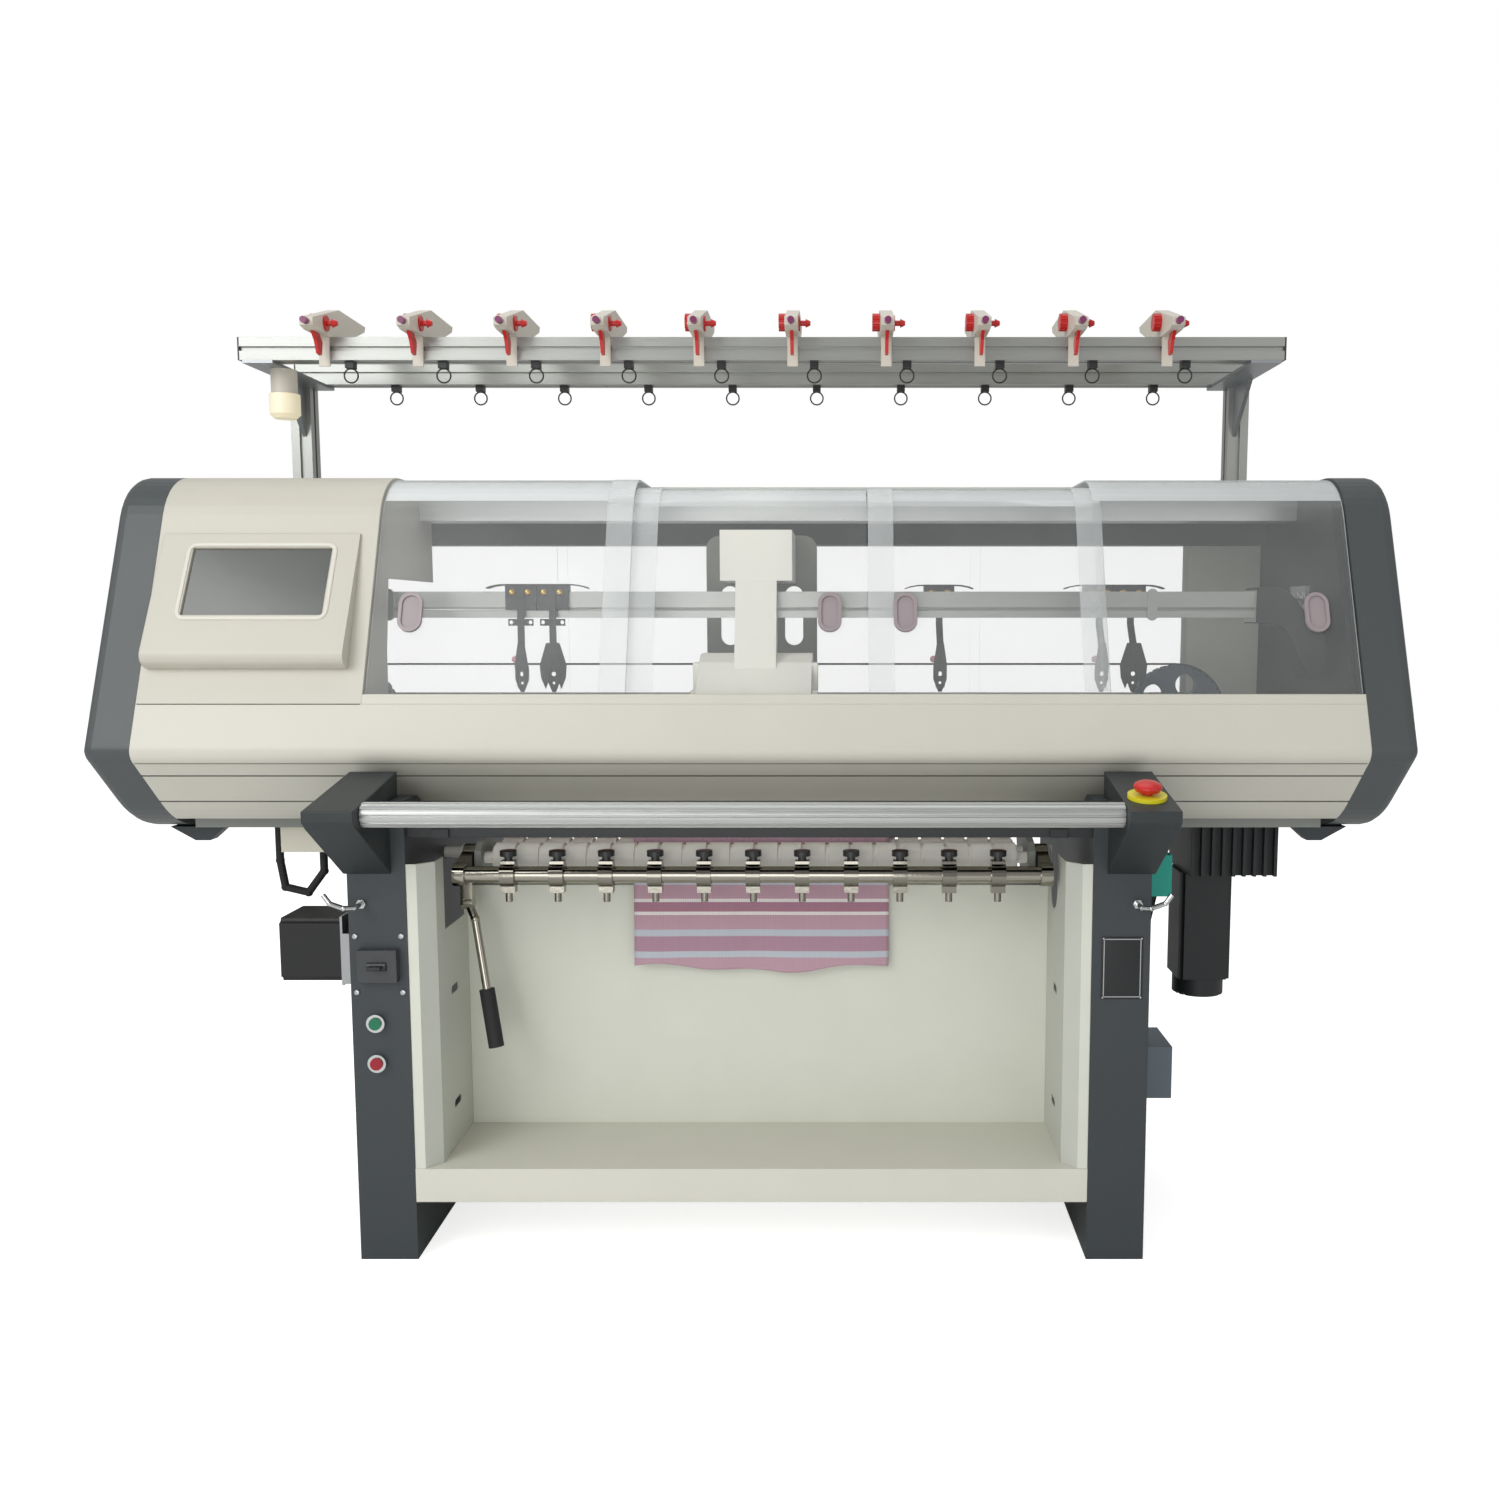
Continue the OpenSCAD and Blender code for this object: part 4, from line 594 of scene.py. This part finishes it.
class KNIT_OT_needles(Operator):
    """Lays a row of latch needles in the slots of each bed"""

    bl_idname = "knit.needles"
    bl_label = "Lay the needles"

    # Start, end and height of a needle's stem and of its butt, down the bed's slope from its edge
    BARS = ((4 * MM, 95 * MM, 1.5 * MM), (60 * MM, 68 * MM, 6 * MM))
    HALF_WIDTH = 0.6 * MM
    SUNK = 0.2 * MM
    BARE_LENGTH = 20 * MM

    def execute(self, context):
        pitch = context.scene.knit_trim.needle_pitch
        steel = ground_steel("needle steel", "#C8CACC")
        for node, body, side in (("front_needle_bed", "machine", -1), ("rear_needle_bed", "rear_bed", 1)):
            low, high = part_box(node)
            edge = high[1] if side < 0 else low[1]
            count = int((high[0] - low[0] - self.BARE_LENGTH) / pitch)
            bm = bmesh.new()
            for k in range(count + 1):
                self.needle(bm, -count * pitch / 2 + k * pitch, edge, high[2], side)
            name = node.replace("needle_bed", "needles")
            piece(name, closed(bm, name), steel, body, smooth=False)
        return {"FINISHED"}

    def needle(self, bm, x, edge, top, side):
        """Adds one needle, as two flat bars that lie on the bed's slope."""
        up = Vector((0, side, 1)).normalized()
        half = Vector((self.HALF_WIDTH, 0, 0))
        for first, last, height in self.BARS:
            a = Vector((x, edge + side * first, top - first))
            b = Vector((x, edge + side * last, top - last))
            corners = [a - up * self.SUNK, b - up * self.SUNK, b + up * height, a + up * height]
            skin(bm, [[corner - half for corner in corners], [corner + half for corner in corners]])


class KNIT_OT_feeders(Operator):
    """Adds the spring wings, thumb screws, tip leaves and eyelets to the yarn feeders"""

    bl_idname = "knit.feeders"
    bl_label = "Dress the yarn feeders"

    # Sides on which each feeder has a wing, and how wide its leaves are
    WINGS = {1: (-1,), 2: (1,), 3: (-1, 1), 4: (-1,), 5: (1,)}
    SPREAD = {1: 1.0, 2: 2.0, 3: 1.0, 4: 1.0, 5: 2.0}
    PLATE = 2 * MM
    FRONT_LIP, BACK_LIP = 3 * MM, 2 * MM
    # Shares of a wing's length, with its height there
    DROOP = ((0.0, 0.0), (0.35, -0.5 * MM), (0.75, -3 * MM), (1.0, -6 * MM))
    TAPER = 4 * MM
    # One of the two crossed leaves, in millimetres across and up from the tip
    LEAF = ((-4, 62), (6, 62), (12, 34), (11, 18), (7, 4), (4, 16), (1, 34))
    LEAF_STRETCH = 1.4
    LEAF_NEAR, LEAF_FAR, LEAF_STEP = 2 * MM, 0.2 * MM, 2.1 * MM
    # Turned forms, in millimetres of radius and height
    SCREW = ((6, 0), (6, 4), (4.5, 5), (4.5, 9), (3, 10))
    EYELET = ((4.5, 0), (6, 2), (6, 4), (4.5, 6))

    def execute(self, context):
        wing = context.scene.knit_trim.wing_length
        black = moulded_abs("blackened spring steel", "#1B1C1D", 0.4)
        brass = chrome_plate("brass", "#C9A55A")
        pink = moulded_abs("pink ceramic", "#C98A94", 0.25)
        for k, ends in self.WINGS.items():
            node = "yarn_feeder_%d" % k
            low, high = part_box(node)
            middle = (low[0] + high[0]) / 2
            verts = [v.co for v in NODES[node].data.vertices]
            top = [v.y for v in verts if v.z > high[2] - 1 * MM]
            tip_front = min(v.y for v in verts if v.z < low[2] + 20 * MM)
            bm = bmesh.new()
            self.wings(bm, (low[0], min(top)), (high[0], max(top)), high[2], ends, wing)
            self.leaves(bm, middle, tip_front, low[2], self.SPREAD[k])
            piece(node + "_springs", closed(bm, node + "_springs"), black, node)
            bm = bmesh.new()
            for x in (-14 * MM, 14 * MM):
                turned(bm, in_mm(self.SCREW), (middle + x, min(top), high[2] - 13 * MM), FRONT)
            piece(node + "_screws", closed(bm, node + "_screws"), brass, node)
            bm = bmesh.new()
            turned(bm, in_mm(self.EYELET), (middle - 12 * MM, tip_front + 5.5 * MM, low[2] + 58 * MM), FRONT)
            piece(node + "_eyelet", closed(bm, node + "_eyelet"), pink, node)
        return {"FINISHED"}

    def wings(self, bm, low, high, z, ends, wing):
        """Adds a thin plate on the block that droops past its ends."""
        front, back = low[1] - self.FRONT_LIP, high[1] + self.BACK_LIP
        block(bm, (low[0], front, z), (high[0], back, z + self.PLATE))
        for side in ends:
            x = high[0] if side > 0 else low[0]
            for part in zip(self.DROOP, self.DROOP[1:]):
                loops = []
                for share, drop in part:
                    taper = self.TAPER * share
                    corners = ((front + taper, 0), (front + taper, self.PLATE), (back - taper, self.PLATE),
                               (back - taper, 0))
                    loops.append([(x + side * wing * share, y, z + drop + lift) for y, lift in corners])
                skin(bm, loops)

    def leaves(self, bm, middle, y, z, spread):
        """Adds two pointed leaves that cross in front of the tip like scissors."""
        for side, step in ((-1, 0.0), (1, self.LEAF_STEP)):
            skin(bm, [[(middle + side * u * spread, y - face - step, z + v * self.LEAF_STRETCH)
                       for u, v in in_mm(self.LEAF)] for face in (self.LEAF_NEAR, self.LEAF_FAR)])


class KNIT_OT_seals(Operator):
    """Lays the milky edge seals on the sliding windows"""

    bl_idname = "knit.seals"
    bl_label = "Lay the window seals"

    # Heights of the seal's two faces above the window
    LOWER, UPPER = 0.3 * MM, 1.1 * MM
    # How far a seal stays above the window's foot
    FOOT = 16 * MM

    def execute(self, context):
        width = context.scene.knit_trim.seal_width
        milky = clear_acrylic("milky edge seal", 0.22)
        for node, end in (("window_1", 1), ("window_3", -1), ("window_3", 1), ("window_2", -1)):
            low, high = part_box(node)
            x1 = high[0] if end > 0 else low[0] + width
            self.strip(node, x1 - width, x1, milky)
        return {"FINISHED"}

    def strip(self, node, x0, x1, material):
        """Follows the window's outer face with a thin strip."""
        corners = ((x0, self.LOWER), (x1, self.LOWER), (x1, self.UPPER), (x0, self.UPPER))
        bm = bmesh.new()
        skin(bm, [[(x, y + ny * lift, z + nz * lift) for x, lift in corners]
                  for (y, z), (ny, nz) in self.profile(node)])
        name = "seal_%s_%d" % (node, round(x0 * 1000))
        piece(name, closed(bm, name), material, node)

    def profile(self, node):
        """Reads the outer outline of a window from its end face, from the sill up, with outward directions."""
        low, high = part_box(node)
        points = sorted({(round(v.co.y, 5), round(v.co.z, 5)) for v in NODES[node].data.vertices
                         if v.co.x < low[0] + 0.5 * MM})
        middle = Vector((high[1], low[2]))
        sweep = sorted((math.atan2(z - low[2], high[1] - y), (Vector((y, z)) - middle).length, y, z)
                       for y, z in points)
        kept = []
        for angle, reach, y, z in sweep:
            # The sheet's inner face lies nearer to the middle at about the same angle
            outermost = max(r for a, r, _, _ in sweep if abs(a - angle) < 0.02)
            if reach >= outermost - 1.2 * MM:
                kept.append((y, z))
        foot, knee = Vector(kept[0]), Vector(kept[1])
        kept[0] = tuple(foot.lerp(knee, self.FOOT / (knee.y - foot.y)))
        rim = []
        for i, point in enumerate(kept):
            before = kept[max(i - 1, 0)]
            after = kept[min(i + 1, len(kept) - 1)]
            along = Vector((after[0] - before[0], after[1] - before[1])).normalized()
            rim.append((point, (-along.y, along.x)))
        return rim


class KNIT_OT_screws(Operator):
    """Sets the button-head screws and the bare data plate"""

    bl_idname = "knit.screws"
    bl_label = "Set the screws and plates"

    # Places across and up on the front of the legs
    BREAKER_X, BREAKER_Z = (-0.640, -0.565), (0.455, 0.548)
    PLATE_X, PLATE_Z = (0.571, 0.638), (0.444, 0.547)
    PLATE_THICKNESS = 1.6 * MM
    # The plate's pale line and its rivets, in from its edge
    LINE_INSET, LINE_WIDTH = 3 * MM, 1.5 * MM
    LINE_BACK, LINE_FRONT = 1.5 * MM, 1.9 * MM
    RIVET_INSET = 2.5 * MM
    RIVET = ((1.7, 0), (1.5, 0.8), (0.8, 1.2))

    def execute(self, context):
        zinc = ground_steel("zinc-plated steel", "#B9BBBC")
        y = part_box("left_leg")[0][1]
        bm = bmesh.new()
        for x in self.BREAKER_X:
            for z in self.BREAKER_Z:
                button_head(bm, (x, y, z), FRONT, context.scene.knit_trim.screw_radius)
        piece("breaker_screws", closed(bm, "breaker_screws"), zinc)
        self.data_plate(y, zinc)
        return {"FINISHED"}

    def data_plate(self, y, zinc):
        """Adds the plain dark plate with its pale rim on the right leg."""
        (left, right), (foot, top) = self.PLATE_X, self.PLATE_Z
        bm = bmesh.new()
        block(bm, (left, y - self.PLATE_THICKNESS, foot), (right, y, top), 0.6 * MM)
        piece("data_plate", closed(bm, "data_plate"), moulded_abs("enamelled plate", "#16181A"))
        x0, x1 = left + self.LINE_INSET, right - self.LINE_INSET
        z0, z1 = foot + self.LINE_INSET, top - self.LINE_INSET
        width = self.LINE_WIDTH
        bm = bmesh.new()
        for xa, za, xb, zb in ((x0, z0, x1, z0 + width), (x0, z1 - width, x1, z1), (x0, z0, x0 + width, z1),
                               (x1 - width, z0, x1, z1)):
            block(bm, (xa, y - self.LINE_FRONT, za), (xb, y - self.LINE_BACK, zb))
        for x in (left + self.RIVET_INSET, right - self.RIVET_INSET):
            for z in (foot + self.RIVET_INSET, top - self.RIVET_INSET):
                turned(bm, in_mm(self.RIVET), (x, y - self.PLATE_THICKNESS, z), FRONT, 12)
        piece("plate_rim", closed(bm, "plate_rim"), zinc)


class KNIT_OT_lines(Operator):
    """Adds the screen's rim and the dark seam lines of the housing"""

    bl_idname = "knit.lines"
    bl_label = "Add the rim and the seams"

    RIM_GAP, RIM_CHAMFER, SCREEN_RADIUS = 4.5 * MM, 2 * MM, 6 * MM
    # Heights of the rim's foot, shoulder and top above the glass
    RIM_FOOT, RIM_SHOULDER, RIM_TOP = 2.0 * MM, 5.2 * MM, 6.2 * MM
    # Node that gives each seam its length, a point on the seam in Y and Z, and the face's direction there
    SEAMS = (("control_housing", (-0.2118, 0.9200), (178, 473)), ("front_apron", (-0.2285, 0.8233), (155, -147)))
    SEAM_HALF, SEAM_SUNK, SEAM_PROUD = 0.9 * MM, 1.0 * MM, 0.35 * MM
    SEAM_END = 2 * MM

    def execute(self, context):
        self.screen_rim(context.scene.knit_trim.rim_width)
        self.seams()
        return {"FINISHED"}

    def screen_rim(self, width):
        """Adds the raised rounded rim round the screen's pocket."""
        mesh = NODES["touch_screen"].data
        glass = max((face for face in mesh.polygons if face.normal.y < -0.2), key=lambda face: face.area)
        out = glass.normal.copy()
        across = Vector((1, 0, 0))
        up = out.cross(across)
        front = [v.co for v in mesh.vertices if (v.co - glass.center).dot(out) > -0.5 * MM]
        u = [point.dot(across) for point in front]
        v = [point.dot(up) for point in front]
        middle = across * (max(u) + min(u)) / 2 + up * (max(v) + min(v)) / 2 + out * glass.center.dot(out)
        half_u, half_v = (max(u) - min(u)) / 2, (max(v) - min(v)) / 2
        inner, outer = self.RIM_GAP, self.RIM_GAP + width
        section = ((outer, self.RIM_FOOT), (outer, self.RIM_SHOULDER), (outer - self.RIM_CHAMFER, self.RIM_TOP),
                   (inner + self.RIM_CHAMFER, self.RIM_TOP), (inner, self.RIM_SHOULDER), (inner, self.RIM_FOOT))
        bm = bmesh.new()
        skin(bm, [[middle + across * a + up * b + out * lift
                   for a, b in rounded(half_u + reach, half_v + reach, self.SCREEN_RADIUS + reach)]
                  for reach, lift in section], ring=True)
        piece("screen_rim", closed(bm, "screen_rim"), textured_powder_coat("rim powder coat", "#D6D3C8"))

    def seams(self):
        """Adds the dark lines of the joint under the control housing and of the fold below the nose."""
        bm = bmesh.new()
        for node, (y, z), run in self.SEAMS:
            low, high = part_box(node)
            along = Vector((0, *run)).normalized()
            out = Vector((0, -abs(along.z), math.copysign(along.y, along.z)))
            section = ((-self.SEAM_HALF, -self.SEAM_SUNK), (self.SEAM_HALF, -self.SEAM_SUNK),
                       (self.SEAM_HALF, self.SEAM_PROUD), (-self.SEAM_HALF, self.SEAM_PROUD))
            skin(bm, [[Vector((x, y, z)) + along * side + out * lift for side, lift in section]
                      for x in (low[0] + self.SEAM_END, high[0] - self.SEAM_END)])
        piece("seam_lines", closed(bm, "seam_lines"), smooth_powder_coat("seam shadow", "#5F5D54"), smooth=False)


class KNIT_OT_stage(Operator):
    """Sets the camera, the lights and the floor"""

    bl_idname = "knit.stage"
    bl_label = "Set the stage"

    CAMERA_PLACE = (0.148, -2.351, 1.060)
    CAMERA_DIP = 5.76
    LENS, SENSOR, SHIFT_X = 31.2, 36, -0.0607
    # Name, place, target, size and power of each lamp
    LAMPS = (("key light", (-2.4, -2.9, 3.0), (0, 0, 0.9), 2.4, 76),
             ("fill light", (2.4, -2.8, 1.6), (0, 0, 0.7), 2.4, 9),
             ("low light", (-0.4, -3.2, 0.5), (0, 0, 0.62), 1.6, 22),
             ("top light", (0, 0.6, 3.6), (0, 0, 0.8), 3.0, 34))
    WORLD_LEVEL = 0.46
    FLOOR_HALF, FLOOR_GLOW = 12.0, 0.72

    def execute(self, context):
        scene = context.scene
        scene.view_settings.view_transform = "Standard"
        self.camera(scene)
        for name, place, target, size, power in self.LAMPS:
            self.lamp(scene, name, place, target, size, power)
        self.world(scene)
        self.floor(scene)
        return {"FINISHED"}

    def camera(self, scene):
        """Adds the camera that was fitted to the photograph."""
        camera = bpy.data.objects.new("camera", bpy.data.cameras.new("camera"))
        scene.collection.objects.link(camera)
        camera.location = self.CAMERA_PLACE
        camera.rotation_euler = (math.radians(90 - self.CAMERA_DIP), 0, 0)
        camera.data.sensor_width = self.SENSOR
        camera.data.lens = self.LENS
        camera.data.shift_x = self.SHIFT_X
        camera.data.clip_end = 60
        scene.camera = camera

    def lamp(self, scene, name, place, target, size, power):
        """Adds a soft square lamp that faces a point."""
        light = bpy.data.lights.new(name, "AREA")
        light.size = size
        light.energy = power
        obj = bpy.data.objects.new(name, light)
        obj.location = place
        obj.rotation_euler = (Vector(target) - Vector(place)).to_track_quat("-Z", "Y").to_euler()
        scene.collection.objects.link(obj)

    def world(self, scene):
        """White behind the object and a plain level of light on it."""
        scene.world = bpy.data.worlds.new("studio")
        scene.world.use_nodes = True
        tree = scene.world.node_tree
        background = tree.nodes["Background"]
        path = add(tree, "ShaderNodeLightPath")
        shown = add(tree, "ShaderNodeMath",
                    [(path.outputs["Is Camera Ray"], 0), (path.outputs["Is Transmission Ray"], 1)],
                    operation="ADD", use_clamp=True)
        level = add(tree, "ShaderNodeMapRange", [(shown.outputs["Value"], "Value")])
        level.inputs["To Min"].default_value = self.WORLD_LEVEL
        level.inputs["To Max"].default_value = 1.0
        tree.links.new(level.outputs["Result"], background.inputs["Strength"])
        background.inputs["Color"].default_value = (1, 1, 1, 1)

    def floor(self, scene):
        """Adds a pale floor that keeps the object's shadow."""
        bm = bmesh.new()
        bmesh.ops.create_grid(bm, x_segments=1, y_segments=1, size=self.FLOOR_HALF)
        mesh = bpy.data.meshes.new("floor")
        bm.to_mesh(mesh)
        bm.free()
        floor = bpy.data.objects.new("floor", mesh)
        scene.collection.objects.link(floor)
        material, tree, shader, _ = start("studio floor")
        shader.inputs["Base Color"].default_value = linear("#F4F4F3")
        shader.inputs["Roughness"].default_value = 0.9
        path = add(tree, "ShaderNodeLightPath")
        shader.inputs["Emission Color"].default_value = (1, 1, 1, 1)
        glow = add(tree, "ShaderNodeMath", [(path.outputs["Is Camera Ray"], 0)], operation="MULTIPLY")
        glow.inputs[1].default_value = self.FLOOR_GLOW
        tree.links.new(glow.outputs["Value"], shader.inputs["Emission Strength"])
        mesh.materials.append(material)


class KNIT_PT_panel(Panel):
    """Lists the steps in the sidebar"""

    bl_label = "Knitting machine"
    bl_idname = "KNIT_PT_panel"
    bl_space_type = "VIEW_3D"
    bl_region_type = "UI"
    bl_category = "Knitting"

    def draw(self, context):
        for operator in OPERATORS:
            self.layout.operator(operator.bl_idname)


OPERATORS = (KNIT_OT_finishes, KNIT_OT_fabric, KNIT_OT_needles, KNIT_OT_feeders, KNIT_OT_seals, KNIT_OT_screws,
             KNIT_OT_lines, KNIT_OT_stage)
CLASSES = (FinishSettings, TrimSettings) + OPERATORS + (KNIT_PT_panel,)


def register():
    """Makes the settings, steps and panel known to Blender."""
    for item in CLASSES:
        bpy.utils.register_class(item)
    bpy.types.Scene.knit_finish = PointerProperty(type=FinishSettings)
    bpy.types.Scene.knit_trim = PointerProperty(type=TrimSettings)


def unregister():
    """Takes the settings, steps and panel away again."""
    del bpy.types.Scene.knit_trim
    del bpy.types.Scene.knit_finish
    for item in reversed(CLASSES):
        bpy.utils.unregister_class(item)


def main():
    """Runs every step in order."""
    register()
    bpy.ops.knit.finishes()
    bpy.ops.knit.fabric()
    bpy.ops.knit.needles()
    bpy.ops.knit.feeders()
    bpy.ops.knit.seals()
    bpy.ops.knit.screws()
    bpy.ops.knit.lines()
    bpy.ops.knit.stage()


if __name__ == "__main__":
    main()
